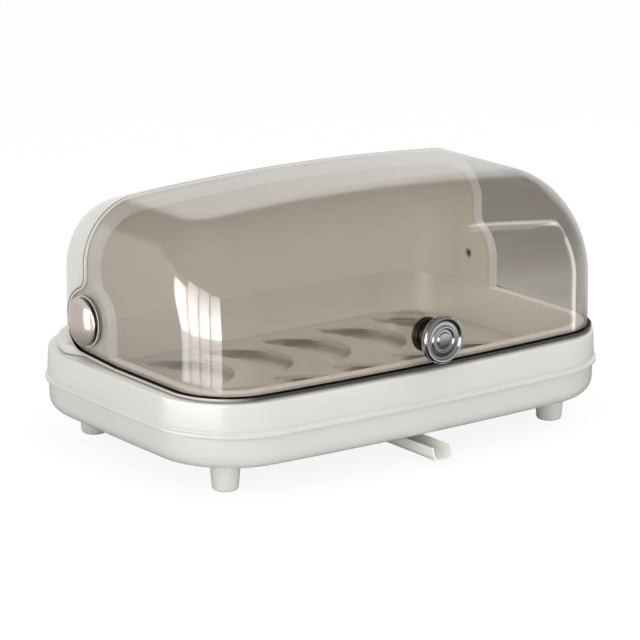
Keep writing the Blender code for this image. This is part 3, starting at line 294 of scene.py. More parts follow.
@dataclass(frozen=True)
class SmokedStyrene(Finish):
    """Clear styrene with a smoke tint: light passes it straight, its skin mirrors the room."""

    tint: str
    slant_tint: str
    lamp_tint: str
    haze_colour: str
    haze: float = 0.02
    ior: float = 1.55
    gloss_roughness: float = 0.045
    ripple: float = 45 * MM
    relief: float = 0.05 * MM

    def shader(self, tree: bpy.types.NodeTree, place: bpy.types.NodeSocket) -> bpy.types.Node:
        """Tinted see-through body under a mirror skin, mixed by Fresnel.

        Light of lamps takes a paler tint and no share of the mirror, so that the inside stays
        as light as it is under a real sheet. On the sheet's inner side the IOR turns over, so
        that a ray that leaves the sheet isn't lost.

        Args:
            tree: the material's node tree.
            place: socket with the place on the object.

        Returns:
            The shader.
        """
        ripple = add_node(
            tree, "ShaderNodeTexNoise",
            {"Scale": 1 / self.ripple, "Detail": 2.0, "Roughness": 0.4}, {"Vector": place},
        )
        bump = add_node(
            tree, "ShaderNodeBump", {"Strength": 0.25, "Distance": self.relief}, {"Height": ripple}
        )
        slant = add_node(tree, "ShaderNodeLayerWeight", {"Blend": 0.4}).outputs["Facing"]
        veil = add_node(
            tree, "ShaderNodeMix",
            {"data_type": "RGBA", 6: linear(self.tint), 7: linear(self.slant_tint)}, {0: slant},
        )
        path = add_node(tree, "ShaderNodeLightPath")
        lamp = add_node(
            tree, "ShaderNodeMath", {"operation": "MAXIMUM"},
            {0: path.outputs["Is Shadow Ray"], 1: path.outputs["Is Diffuse Ray"]},
        )
        passed = add_node(
            tree, "ShaderNodeMix", {"data_type": "RGBA", 7: linear(self.lamp_tint)},
            {0: lamp, 6: veil.outputs[2]},
        )
        clear = add_node(tree, "ShaderNodeBsdfTransparent", {}, {"Color": passed.outputs[2]})
        haze = add_node(tree, "ShaderNodeBsdfDiffuse", {"Color": linear(self.haze_colour)})
        body = add_node(tree, "ShaderNodeMixShader", {0: self.haze}, {1: clear, 2: haze})
        gloss = add_node(
            tree, "ShaderNodeBsdfGlossy",
            {"Color": linear("FFFFFF"), "Roughness": self.gloss_roughness}, {"Normal": bump},
        )
        inside = add_node(tree, "ShaderNodeNewGeometry").outputs["Backfacing"]
        bend = add_node(
            tree, "ShaderNodeMapRange", {"To Min": self.ior, "To Max": 1 / self.ior},
            {"Value": inside},
        )
        mirror = add_node(tree, "ShaderNodeFresnel", {}, {"IOR": bend, "Normal": bump})
        seen = add_node(tree, "ShaderNodeMath", {"operation": "SUBTRACT", 0: 1.0}, {1: lamp})
        share = add_node(tree, "ShaderNodeMath", {"operation": "MULTIPLY"}, {0: mirror, 1: seen})
        return add_node(tree, "ShaderNodeMixShader", {}, {0: share, 1: body, 2: gloss})


@dataclass(frozen=True)
class SheetEdge(Finish):
    """Polished edge of a smoked sheet, coloured with painted light and shade: dark, and pale beyond a
    place along X.
    """

    # Colour of the painted shade and of the painted light, and where along X each is full
    dark: str
    painted_light_colour: str
    dark_x: float
    painted_light_x: float
    roughness: float = 0.16
    ior: float = 1.45
    streak: float = 0.7 * MM

    def shader(self, tree: bpy.types.NodeTree, place: bpy.types.NodeSocket) -> bpy.types.Node:
        """Plain gloss whose colour goes from painted shade to painted light along X, with polishing
        streaks.

        Args:
            tree: the material's node tree.
            place: socket with the place on the object.

        Returns:
            The shader.
        """
        parts = add_node(tree, "ShaderNodeSeparateXYZ", {}, {0: place})
        share = add_node(
            tree, "ShaderNodeMapRange",
            {
                "interpolation_type": "SMOOTHSTEP",
                "From Min": self.dark_x, "From Max": self.painted_light_x,
            },
            {"Value": parts.outputs["X"]},
        )
        colour = add_node(
            tree, "ShaderNodeMix",
            {"data_type": "RGBA", 6: linear(self.dark), 7: linear(self.painted_light_colour)}, {0: share},
        )
        streaks = Marks(self.streak, detail=3.0).feed(
            tree, place, self.roughness * 0.7, self.roughness * 1.3
        )
        return add_node(
            tree, "ShaderNodeBsdfPrincipled", {"IOR": self.ior},
            {"Base Color": colour.outputs[2], **streaks},
        )


@dataclass(frozen=True)
class PlatedMetal(Finish):
    """Plated metal with fine marks left by polishing or turning."""

    colour: str
    roughness: float
    spread: float
    mark: float

    def shader(self, tree: bpy.types.NodeTree, place: bpy.types.NodeSocket) -> bpy.types.Node:
        """Metal whose roughness varies over the marks.

        Args:
            tree: the material's node tree.
            place: socket with the place on the object.

        Returns:
            The shader.
        """
        marks = Marks(self.mark, detail=4.0, contrast=0.6, least=0.3, most=0.7).feed(
            tree, place, self.roughness - self.spread, self.roughness + self.spread
        )
        return add_node(
            tree, "ShaderNodeBsdfPrincipled",
            {"Base Color": linear(self.colour), "Metallic": 1.0}, marks,
        )


@dataclass(frozen=True)
class WhitePaper(Finish):
    """Paper under the object, as a white table in a bright room."""

    colour: str = "F7F7F7"
    white: float = 0.85
    direct: float = 1.04
    # Near and far radius, and how bright it is there: painted shade on the floor seen through the lid
    # and in mirrors
    veiled: Four = (0.25, 0.8, 0.95, 0.36)
    mirrored: Four = (0.22, 0.7, 0.03, 0.9)
    # Middle of the painted shade that mirrors show beside the object
    dark_spot: Triple = (0.05, -0.08, 0.0)

    def shader(self, tree: bpy.types.NodeTree, place: bpy.types.NodeSocket) -> bpy.types.Node:
        """Paper that takes shadows, mixed with a glow.

        The camera sees it white. Seen through the lid it is greyer away from the object, and in
        mirror reflections it is dark beside the object: painted shade, as on a table on which light
        falls from the far side.

        Args:
            tree: the material's node tree.
            place: socket with the place on the floor.

        Returns:
            The shader.
        """
        paper = add_node(
            tree, "ShaderNodeBsdfPrincipled",
            {"Base Color": linear(self.colour), "Roughness": 0.9, "Specular IOR Level": 0.1},
        )
        path = add_node(tree, "ShaderNodeLightPath")
        through = add_node(
            tree, "ShaderNodeMath", {"operation": "MINIMUM", 1: 1.0},
            {0: path.outputs["Transparent Depth"]},
        )
        veiled, mirrored = (
            add_node(
                tree, "ShaderNodeMapRange",
                {
                    "interpolation_type": "SMOOTHSTEP", "From Min": near, "From Max": far,
                    "To Min": start, "To Max": end,
                },
                {"Value": add_node(
                    tree, "ShaderNodeVectorMath", {"operation": "DISTANCE", 1: middle}, {0: place}
                ).outputs["Value"]},
            )
            for middle, (near, far, start, end) in (
                ((0.0, 0.0, 0.0), self.veiled), (self.dark_spot, self.mirrored)
            )
        )
        direct = add_node(
            tree, "ShaderNodeMix", {"data_type": "FLOAT", 2: self.direct}, {0: through, 3: veiled}
        )
        glow = add_node(
            tree, "ShaderNodeMix", {"data_type": "FLOAT"},
            {0: path.outputs["Is Glossy Ray"], 2: direct, 3: mirrored},
        )
        light = add_node(
            tree, "ShaderNodeEmission", {"Color": linear("FFFFFF")}, {"Strength": glow}
        )
        seen = add_node(
            tree, "ShaderNodeMath", {"operation": "MULTIPLY", 1: self.white},
            {0: path.outputs["Is Camera Ray"]},
        )
        share = add_node(
            tree, "ShaderNodeMath", {"operation": "MAXIMUM"},
            {0: seen, 1: path.outputs["Is Glossy Ray"]},
        )
        return add_node(tree, "ShaderNodeMixShader", {}, {0: share, 1: paper, 2: light})


class Finishes:
    """All finishes of the object, one material for each."""

    def __init__(self) -> None:
        """Makes the materials."""
        # ABS, moulded and polished in the tool: warm white with a soft gloss
        self.ivory = MouldedPlastic(
            "abs_ivory_moulded", "E0DFDA", "DBDAD4", roughness=0.30, spread=0.03,
            coat=0.35, coat_roughness=0.12, ior=1.53, skin=0.9 * MM,
        ).material()
        # ABS of the feet: warm white, lighter than the base's ivory as painted light that makes up for
        # the shade under the pan
        self.white = MouldedPlastic(
            "abs_white_painted_light", "EEECE7", "E9E7E1", roughness=0.32, spread=0.03,
            coat=0.3, coat_roughness=0.14, ior=1.53, skin=0.9 * MM,
        ).material()
        # ABS of the spout: bright white, lighter than the base's ivory as painted light that makes up
        # for the shade under the pan
        self.spout_painted_light_white = MouldedPlastic(
            "abs_white_thin_moulded", "F8F6F1", "F4F2EC", roughness=0.32, spread=0.03,
            coat=0.3, coat_roughness=0.14, ior=1.53, skin=0.9 * MM,
        ).material()
        # Polypropylene of the rack, moulded: greyish beige, duller than the shell
        self.dull_beige = MouldedPlastic(
            "polypropylene_greige_moulded", "D6D0C5", "CFC9BD", roughness=0.34, spread=0.04,
            coat=0.15, coat_roughness=0.25, ior=1.49, skin=0.8 * MM,
        ).material()
        # Polypropylene of the liner, moulded: light beige
        self.beige = MouldedPlastic(
            "polypropylene_beige_moulded", "EDE9DF", "E7E3D8", roughness=0.32, spread=0.04,
            coat=0.2, coat_roughness=0.22, ior=1.49, skin=0.8 * MM,
        ).material()
        # Polypropylene of the tray, moulded: a shade deeper than the liner
        self.deep_beige = MouldedPlastic(
            "polypropylene_tray_moulded", "E6E1D6", "E0DACE", roughness=0.30, spread=0.04,
            coat=0.22, coat_roughness=0.2, ior=1.49, skin=0.8 * MM,
        ).material()
        # Styrene, smoked and clear: brown-grey veil with mirror reflections
        self.smoke = SmokedStyrene(
            "styrene_smoked_clear", tint="F0EEEC", slant_tint="DCD9D5", lamp_tint="FFFEFE",
            haze_colour="B9B0A4",
        ).material()
        # Painted shade: black styrene in the gap between the lid's wall and its rim, where no light
        # gets: a black line
        self.gap = MouldedPlastic(
            "styrene_gap_painted_shade", "0A0807", "100E0C", roughness=0.45, spread=0.04,
            coat=0.0, coat_roughness=0.3, ior=1.1, skin=1.2 * MM,
        ).material()
        # Styrene seen along its sawn and polished edge, with painted light and shade: dark in front
        # where shade falls, pale at the left where it mirrors the bright room
        self.side = SheetEdge(
            "styrene_edge_painted_light_and_shade", dark="47443F", painted_light_colour="C9C4BB", dark_x=-0.165, painted_light_x=-0.203,
        ).material()
        # Styrene in the lid's own shade beside the cover: grey line
        self.shaded_edge = MouldedPlastic(
            "styrene_shaded_edge", "88837A", "7F7A71", roughness=0.25, spread=0.03,
            coat=0.2, coat_roughness=0.1, ior=1.4, skin=1.4 * MM,
        ).material()
        # Painted highlight: pale styrene along the cut edge that faces the sky, where light that runs
        # in the sheet leaves
        self.bright_edge = MouldedPlastic(
            "styrene_edge_painted_highlight", "E9E6DF", "E1DDD5", roughness=0.16, spread=0.02,
            coat=0.6, coat_roughness=0.06, ior=1.55, skin=1.5 * MM,
        ).material()
        # Chrome plate over zinc, satin polished: grey mirror with faint marks
        self.chrome = PlatedMetal(
            "chrome_plate_satin", "C0BFBF", roughness=0.13, spread=0.04, mark=1.4 * MM,
        ).material()
        # Chrome plate of the pivot caps, tinted rosy: a painted reflection of a warm room
        self.chrome_painted_reflection = PlatedMetal(
            "chrome_plate_painted_warm_reflection", "C3B7AF", roughness=0.15, spread=0.05, mark=1.4 * MM,
        ).material()
        # Nylon, moulded black: dull dark rings
        self.black = MouldedPlastic(
            "nylon_black_moulded", "0B0A09", "100F0D", roughness=0.30, spread=0.05,
            coat=0.1, coat_roughness=0.2, ior=1.45, skin=0.6 * MM,
        ).material()
        # Nylon, natural: milky bush
        self.nylon = MouldedPlastic(
            "nylon_natural_moulded", "D8D4C6", "CFCABA", roughness=0.45, spread=0.04,
            coat=0.0, coat_roughness=0.3, ior=1.53, skin=0.7 * MM,
        ).material()
        # Steel, zinc plated: bluish grey screws
        self.steel = PlatedMetal(
            "steel_zinc_plated", "B4B5B2", roughness=0.32, spread=0.08, mark=0.8 * MM,
        ).material()


def distinct(points: Array) -> Array:
    """Drops points that lie on the one before them.

    Args:
        points: points in order.

    Returns:
        The points that differ from the one before.
    """
    steps = np.linalg.norm(np.diff(points, axis=0), axis=1)
    return points[np.concatenate([[True], steps > MERGE])]


def rounded(corners: Sequence[Triple], steps: int = 6) -> Array:
    """Rounds the corners of a closed outline.

    Each corner gives way to an arc that touches both its sides: its centre lies on the
    bisector, and the arc is the even turn from one touching point to the other. A radius too
    big for the sides is cut to what fits.

    Args:
        corners: the outline's corners in order, each with its radius, zero to keep it sharp.
        steps: parts that each arc is divided into.

    Returns:
        Points of the rounded outline.
    """
    outline = np.asarray(corners, float)
    points, radii = outline[:, :2], outline[:, 2]
    back = np.roll(points, 1, axis=0) - points
    ahead = np.roll(points, -1, axis=0) - points
    back_length = np.linalg.norm(back, axis=1)
    ahead_length = np.linalg.norm(ahead, axis=1)
    back /= back_length[:, None]
    ahead /= ahead_length[:, None]
    half = np.arccos(np.clip(np.sum(back * ahead, axis=1), -0.999999, 0.999999)) / 2
    reach = np.minimum(radii / np.tan(half), 0.48 * np.minimum(back_length, ahead_length))
    bisector = back + ahead
    bisector /= np.linalg.norm(bisector, axis=1)[:, None] + 1e-12
    centre = points + bisector * (reach / np.cos(half))[:, None]
    first = points + back * reach[:, None] - centre
    last = points + ahead * reach[:, None] - centre
    turn = (math.pi - 2 * half)[:, None, None]
    share = np.linspace(0.0, 1.0, steps + 1)[None, :, None]
    blend = (
        np.sin((1 - share) * turn) * first[:, None] + np.sin(share * turn) * last[:, None]
    ) / np.sin(turn)
    return distinct((centre[:, None] + blend).reshape(-1, 2))


def arc(centre: Pair, radius: float, start: float, end: float, steps: int) -> Array:
    """Points of an arc, both ends kept.

    Args:
        centre: the arc's centre.
        radius: its radius.
        start: first angle in radians.
        end: last angle in radians.
        steps: parts that it is divided into.

    Returns:
        Points along the arc.
    """
    angles = np.linspace(start, end, steps + 1)
    return np.stack([centre[0] + radius * np.cos(angles), centre[1] + radius * np.sin(angles)], 1)


def shares_of(points: Array) -> Array:
    """Share of a path's length at which each of its points lies.

    Args:
        points: the path's points.

    Returns:
        One share for each point.
    """
    steps = np.linalg.norm(np.diff(points, axis=0), axis=1)
    travelled = np.concatenate([[0.0], np.cumsum(steps)])
    return travelled / travelled[-1]


def along(points: Array, shares: Array) -> Array:
    """Points at shares of the length of a path.

    Args:
        points: the path's points.
        shares: shares of its whole length.

    Returns:
        One point for each share.
    """
    travelled = shares_of(points)
    return np.stack([np.interp(shares, travelled, axis) for axis in points.T], 1)


def unit(vectors: Array) -> Array:
    """Vectors of length one.

    Args:
        vectors: any vectors.

    Returns:
        The same directions at length one.
    """
    return vectors / np.maximum(np.linalg.norm(vectors, axis=-1, keepdims=True), 1e-12)


def border(rows: Array) -> Array:
    """Border of a grid in order: first row, last column, last row back, first column back.

    Args:
        rows: the grid's points.

    Returns:
        The border's points.
    """
    return np.concatenate([rows[0, :-1], rows[:-1, -1], rows[-1, :0:-1], rows[:0:-1, 0]])


def beside_border(rows: Array) -> Array:
    """Points one step inside a grid's border.

    Args:
        rows: the grid's points.

    Returns:
        For each point of the border the nearest one inside it.
    """
    return border(np.pad(rows[1:-1, 1:-1], ((1, 1), (1, 1), (0, 0)), mode="edge"))


def cyclic_run(mask: Array) -> Array:
    """Numbers of the one run that a mask holds on a closed line.

    Args:
        mask: true where the run is.

    Returns:
        The run's numbers in order, also where it passes the line's start.
    """
    held = np.flatnonzero(mask)
    gap = np.flatnonzero(np.diff(held) > 1)
    return np.roll(held, -(int(gap[0]) + 1)) if len(gap) else held


@dataclass(frozen=True)
class Plan:
    """Plan outline: a rectangle with round corners whose sides bow out a little."""

    half_x: float
    front: float
    rear: float
    front_corner: float
    rear_corner: float
    front_bow: float
    rear_bow: float
    side_bow: float

    def loop(self, inset: float = 0.0) -> Array:
        """Works out the outline drawn in by a distance.

        Four quarter arcs are joined by straight runs. Then each point moves out along X and Y
        by its side's bow times one less the squared share of the way to that side's end.

        Args:
            inset: distance from the outline inwards.

        Returns:
            Points anticlockwise seen from above, the same count at every inset.
        """
        flat_x = self.half_x - inset - self.side_bow
        rear = self.rear - inset - self.rear_bow
        front = self.front - inset - self.front_bow
        signs = np.array([(1, 1), (-1, 1), (-1, -1), (1, -1)], float)
        edges = np.array([rear, rear, front, front])
        corners = np.array(
            [self.rear_corner, self.rear_corner, self.front_corner, self.front_corner]
        ) - inset
        centres = np.stack([flat_x - corners, edges - corners], 1) * signs
        starts = np.arange(4) * math.pi / 2
        angles = starts[:, None] + np.linspace(0.0, math.pi / 2, CORNER_STEPS + 1)[None]
        bends = centres[:, None] + corners[:, None, None] * np.stack(
            [np.cos(angles), np.sin(angles)], 2
        )
        share = np.linspace(0.0, 1.0, RUN_STEPS + 1)[None, 1:-1, None]
        nexts = np.roll(bends[:, 0], -1, axis=0)
        runs = bends[:, -1:] * (1 - share) + nexts[:, None] * share
        points = np.concatenate([bends, runs], 1).reshape(-1, 2)
        x, y = points.T
        edge = np.where(y > 0, rear, front)
        bow = np.where(y > 0, self.rear_bow, self.front_bow)
        along_x = np.maximum(0.0, 1 - (x / flat_x) ** 2)
        along_y = np.maximum(0.0, 1 - (y / edge) ** 2)
        return np.stack(
            [x + np.sign(x) * self.side_bow * along_y, y + np.sign(y) * bow * along_x], 1
        )

    def rows(self, profile: Array) -> Array:
        """Carries a profile round the outline.

        Args:
            profile: pairs of inset and height.

        Returns:
            One row of points for each pair.
        """
        return np.stack([
            np.column_stack([self.loop(inset), np.full(4 * (CORNER_STEPS + RUN_STEPS), height)])
            for inset, height in profile
        ])


BASE_PLAN = Plan(
    half_x=225.0 * MM, front=153.9 * MM, rear=153.9 * MM, front_corner=71.8 * MM,
    rear_corner=71.8 * MM, front_bow=8.1 * MM, rear_bow=8.1 * MM, side_bow=2.0 * MM,
)
TRAY_PLAN = Plan(
    half_x=208.0 * MM, front=140.3 * MM, rear=130.3 * MM, front_corner=46.7 * MM,
    rear_corner=60.0 * MM, front_bow=9.0 * MM, rear_bow=5.0 * MM, side_bow=0.0,
)


def quads(rows: int, columns: int, wrap_rows: bool, wrap_columns: bool) -> Array:
    """Corner numbers of the faces of a grid.

    Args:
        rows: rows of points.
        columns: points in each row.
        wrap_rows: whether the last row joins the first.
        wrap_columns: whether the last point of a row joins its first.

    Returns:
        Four point numbers for each face.
    """
    i = np.arange(rows if wrap_rows else rows - 1)[:, None]
    j = np.arange(columns if wrap_columns else columns - 1)[None]
    above, after = (i + 1) % rows, (j + 1) % columns
    faces = [i * columns + j, i * columns + after, above * columns + after, above * columns + j]
    return np.stack(np.broadcast_arrays(*faces), 2).reshape(-1, 4)


@dataclass
class Shell:
    """Collects grids and end faces of one closed piece and turns them into a mesh object."""

    name: str
    points: list[Array] = field(default_factory=list)
    faces: list[list[int]] = field(default_factory=list)
    count: int = 0

    def grid(self, rows: Array, wrap_rows: bool = False, wrap_columns: bool = False) -> "Shell":
        """Adds a grid of points with its faces.

        Args:
            rows: points as rows, columns and three coordinates.
            wrap_rows: whether the last row joins the first.
            wrap_columns: whether the last column joins the first.

        Returns:
            The shell itself.
        """
        numbers = quads(rows.shape[0], rows.shape[1], wrap_rows, wrap_columns) + self.count
        self.faces.extend(numbers.tolist())
        self.points.append(rows.reshape(-1, 3))
        self.count += rows.shape[0] * rows.shape[1]
        return self

    def cap(self, loop: Array) -> "Shell":
        """Adds one flat face through a loop of points.

        Args:
            loop: points in order.

        Returns:
            The shell itself.
        """
        self.points.append(loop)
        self.faces.append(list(range(self.count, self.count + len(loop))))
        self.count += len(loop)
        return self

    def bar(self, rows: Array) -> "Shell":
        """Adds a bar whose rows are its closed outlines, with a face on both ends.

        Args:
            rows: the outlines from one end to the other.

        Returns:
            The shell itself.
        """
        return self.grid(rows, wrap_columns=True).cap(rows[0]).cap(rows[-1])

    def strip(self, rows: Array) -> "Shell":
        """Adds a bar whose columns are its closed outlines, with a face on both ends.

        Args:
            rows: the lines that run from one end to the other, in order round the outline.

        Returns:
            The shell itself.
        """
        return self.grid(rows, wrap_rows=True).cap(rows[:, 0]).cap(rows[:, -1])

    def mesh(self) -> bpy.types.Mesh:
        """Joins what was added into one mesh with its faces turned outward.

        Returns:
            The mesh.
        """
        points = np.concatenate(self.points) + np.array([0.0, SHIFT_Y, 0.0])
        mesh = bpy.data.meshes.new(self.name)
        mesh.from_pydata(points, [], self.faces)
        bm = bmesh.new()
        bm.from_mesh(mesh)
        bmesh.ops.remove_doubles(bm, verts=bm.verts[:], dist=MERGE)
        bmesh.ops.recalc_face_normals(bm, faces=bm.faces[:])
        if bm.calc_volume(signed=True) < 0:
            bmesh.ops.reverse_faces(bm, faces=bm.faces[:])
        bm.to_mesh(mesh)
        bm.free()
        return mesh

    def piece(
        self,
        finish: bpy.types.Material,
        body: Body,
        slot: Slot,
        nodes: Sequence[str] = (),
        cutters: Iterable[bpy.types.Mesh] = (),
    ) -> None:
        """Finishes the piece, shades it smooth between sharp edges and hands it to the frame.

        Args:
            finish: its material.
            body: the body that it moves with.
            slot: the record's material slot.
            nodes: the CAD nodes that it is shown in place of.
            cutters: closed meshes whose space is taken out of it.
        """
        mesh = self.mesh()
        mesh.materials.append(finish)
        item = bpy.data.objects.new(self.name, mesh)
        bpy.context.scene.collection.objects.link(item)
        carve(item, list(cutters))
        item.data.polygons.foreach_set("use_smooth", np.ones(len(item.data.polygons), bool))
        item.data.set_sharp_from_angle(angle=SHARP_ANGLE)
        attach(item, body.value)
        if nodes:
            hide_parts(*nodes)
        LOG.info("%s: %d faces on %s", self.name, len(item.data.polygons), body.value)


def carve(item: bpy.types.Object, cutters: Sequence[bpy.types.Mesh]) -> None:
    """Takes closed meshes out of an object and keeps the result as its mesh.

    Args:
        item: the object.
        cutters: the closed meshes.
    """
    if not cutters:
        return
    helpers = [bpy.data.objects.new("cutter", mesh) for mesh in cutters]
    for helper in helpers:
        bpy.context.scene.collection.objects.link(helper)
        modifier = item.modifiers.new("cut", "BOOLEAN")
        modifier.operation = "DIFFERENCE"
        modifier.solver = "EXACT"
        modifier.object = helper
    graph = bpy.context.evaluated_depsgraph_get()
    graph.update()
    result = bpy.data.meshes.new_from_object(item.evaluated_get(graph))
    item.modifiers.clear()
    item.data = result
    for helper in helpers:
        bpy.data.objects.remove(helper, do_unlink=True)


def turned(name: str, profile: Array, aim: Triple, centre: Triple) -> Shell:
    """Turns a closed profile about a line.

    Each point of the profile is a radius and a distance along the line, and the rows are that
    point carried round a circle.

    Args:
        name: the piece's name.
        profile: pairs of radius and distance, closed; radius zero lies on the line.
        aim: direction of the line.
        centre: where the distances are counted from.

    Returns:
        The shell.
    """
    radius, height = np.asarray(profile, float).T
    angle = np.linspace(0.0, math.tau, TURN_STEPS, endpoint=False)
    rows = np.stack([
        radius[:, None] * np.cos(angle),
        radius[:, None] * np.sin(angle),
        np.broadcast_to(height[:, None], (len(radius), TURN_STEPS)),
    ], 2)
    turn = Vector((0.0, 0.0, 1.0)).rotation_difference(Vector(aim)).to_matrix()
    rows = rows @ np.array(turn).T + np.array(centre)
    return Shell(name).grid(rows, wrap_rows=bool(radius[0] > 0), wrap_columns=True)


def pillar(radius: float, low: float, high: float, aim: Triple, centre: Triple) -> bpy.types.Mesh:
    """Round bar used to cut a hole.

    Args:
        radius: its radius.
        low: where it starts along the line.
        high: where it ends.
        aim: direction of the line.
        centre: where the distances are counted from.

    Returns:
        The closed mesh.
    """
    profile = np.array([(0.0, low), (radius, low), (radius, high), (0.0, high)])
    return turned("cutter", profile, aim, centre).mesh()


def pivot_holes(radius: float, wall_x: float) -> list[bpy.types.Mesh]:
    """Bars that cut a hole through both end walls on the lid's line of turn.

    Args:
        radius: the holes' radius.
        wall_x: how far the walls stand from mid-length.

    Returns:
        The closed meshes.
    """
    return [
        pillar(radius, -HOLE_REACH, HOLE_REACH, (side, 0, 0), (side * wall_x, PIVOT_Y, PIVOT_Z))
        for side, _ in SIDES
    ]


@dataclass(frozen=True)
class Section:
    """Side section of a dome: Y and Z of its points and how much the ends draw each in."""

    y: Array
    z: Array
    pull_y: Array
    pull_z: Array


@dataclass(frozen=True)
class Dome:
    """Domed skin: a side section drawn in towards both ends by quarter rounds."""

    half_length: float
    top_radius: float
    side_radius: float
    bow: float
    crown: float

    def stations(self) -> Array:
        """Distances from mid-length, close together where the ends turn.

        Returns:
            Distances from one end to the other.
        """
        widest = max(self.top_radius, self.side_radius)
        flat = self.half_length - widest
        crown = np.linspace(0.0, flat, CROWN_STEPS, endpoint=False)
        swing = np.linspace(0.0, math.pi / 2, STATION_STEPS + 1)
        half = np.concatenate([crown, flat + widest * np.sin(swing)])
        return np.concatenate([-half[:0:-1], half])

    def inset(self, x: Array, radius: float) -> Array:
        """How far a quarter-round end draws the section in.

        Args:
            x: distances from mid-length.
            radius: radius of the quarter round.

        Returns:
            The inset at each distance: the radius less its height over the round's start.
        """
        past = np.clip(np.abs(x) - (self.half_length - radius), 0.0, radius)
        return radius - np.sqrt(np.maximum(radius ** 2 - past ** 2, 0.0))

    def skin(self, section: Section, walls: Array) -> Array:
        """Works out the skin with its flat end walls.

        At station x each section point moves in along Y by its Y pull, and down along Z by its
        Z pull, times the quarter-round inset plus the bow or crown times the squared share of
        the half length. Beyond both ends the rows go on over the flat wall, along ways that
        walls gives.

        Args:
            section: the side section.
            walls: for each section point the Y and Z of its way over the wall, as shares that
                run from the end round to the wall's border: points, steps, 2.

        Returns:
            Points as rows along the section and columns along the length.
        """
        x = self.stations()
        share = (x / self.half_length) ** 2
        draw_y = self.inset(x, self.side_radius) + self.bow * share
        draw_z = self.inset(x, self.top_radius) + self.crown * share
        rows = np.stack([
            np.broadcast_to(x[None], (len(section.y), len(x))),
            section.y[:, None] - section.pull_y[:, None] * draw_y,
            section.z[:, None] - section.pull_z[:, None] * draw_z,
        ], 2)
        left, right = (
            np.concatenate([np.full((*walls.shape[:2], 1), wall_x), walls], 2)[:, 1:]
            for wall_x in (-self.half_length, self.half_length)
        )
        return np.concatenate([left[:, ::-1], rows, right], 1)

    def ends(self, section: Section) -> Array:
        """Where the end rounds meet the end wall.

        Args:
            section: the side section.

        Returns:
            Y and Z for each section point.
        """
        return np.stack([
            section.y - section.pull_y * (self.side_radius + self.bow),
            section.z - section.pull_z * (self.top_radius + self.crown),
        ], 1)


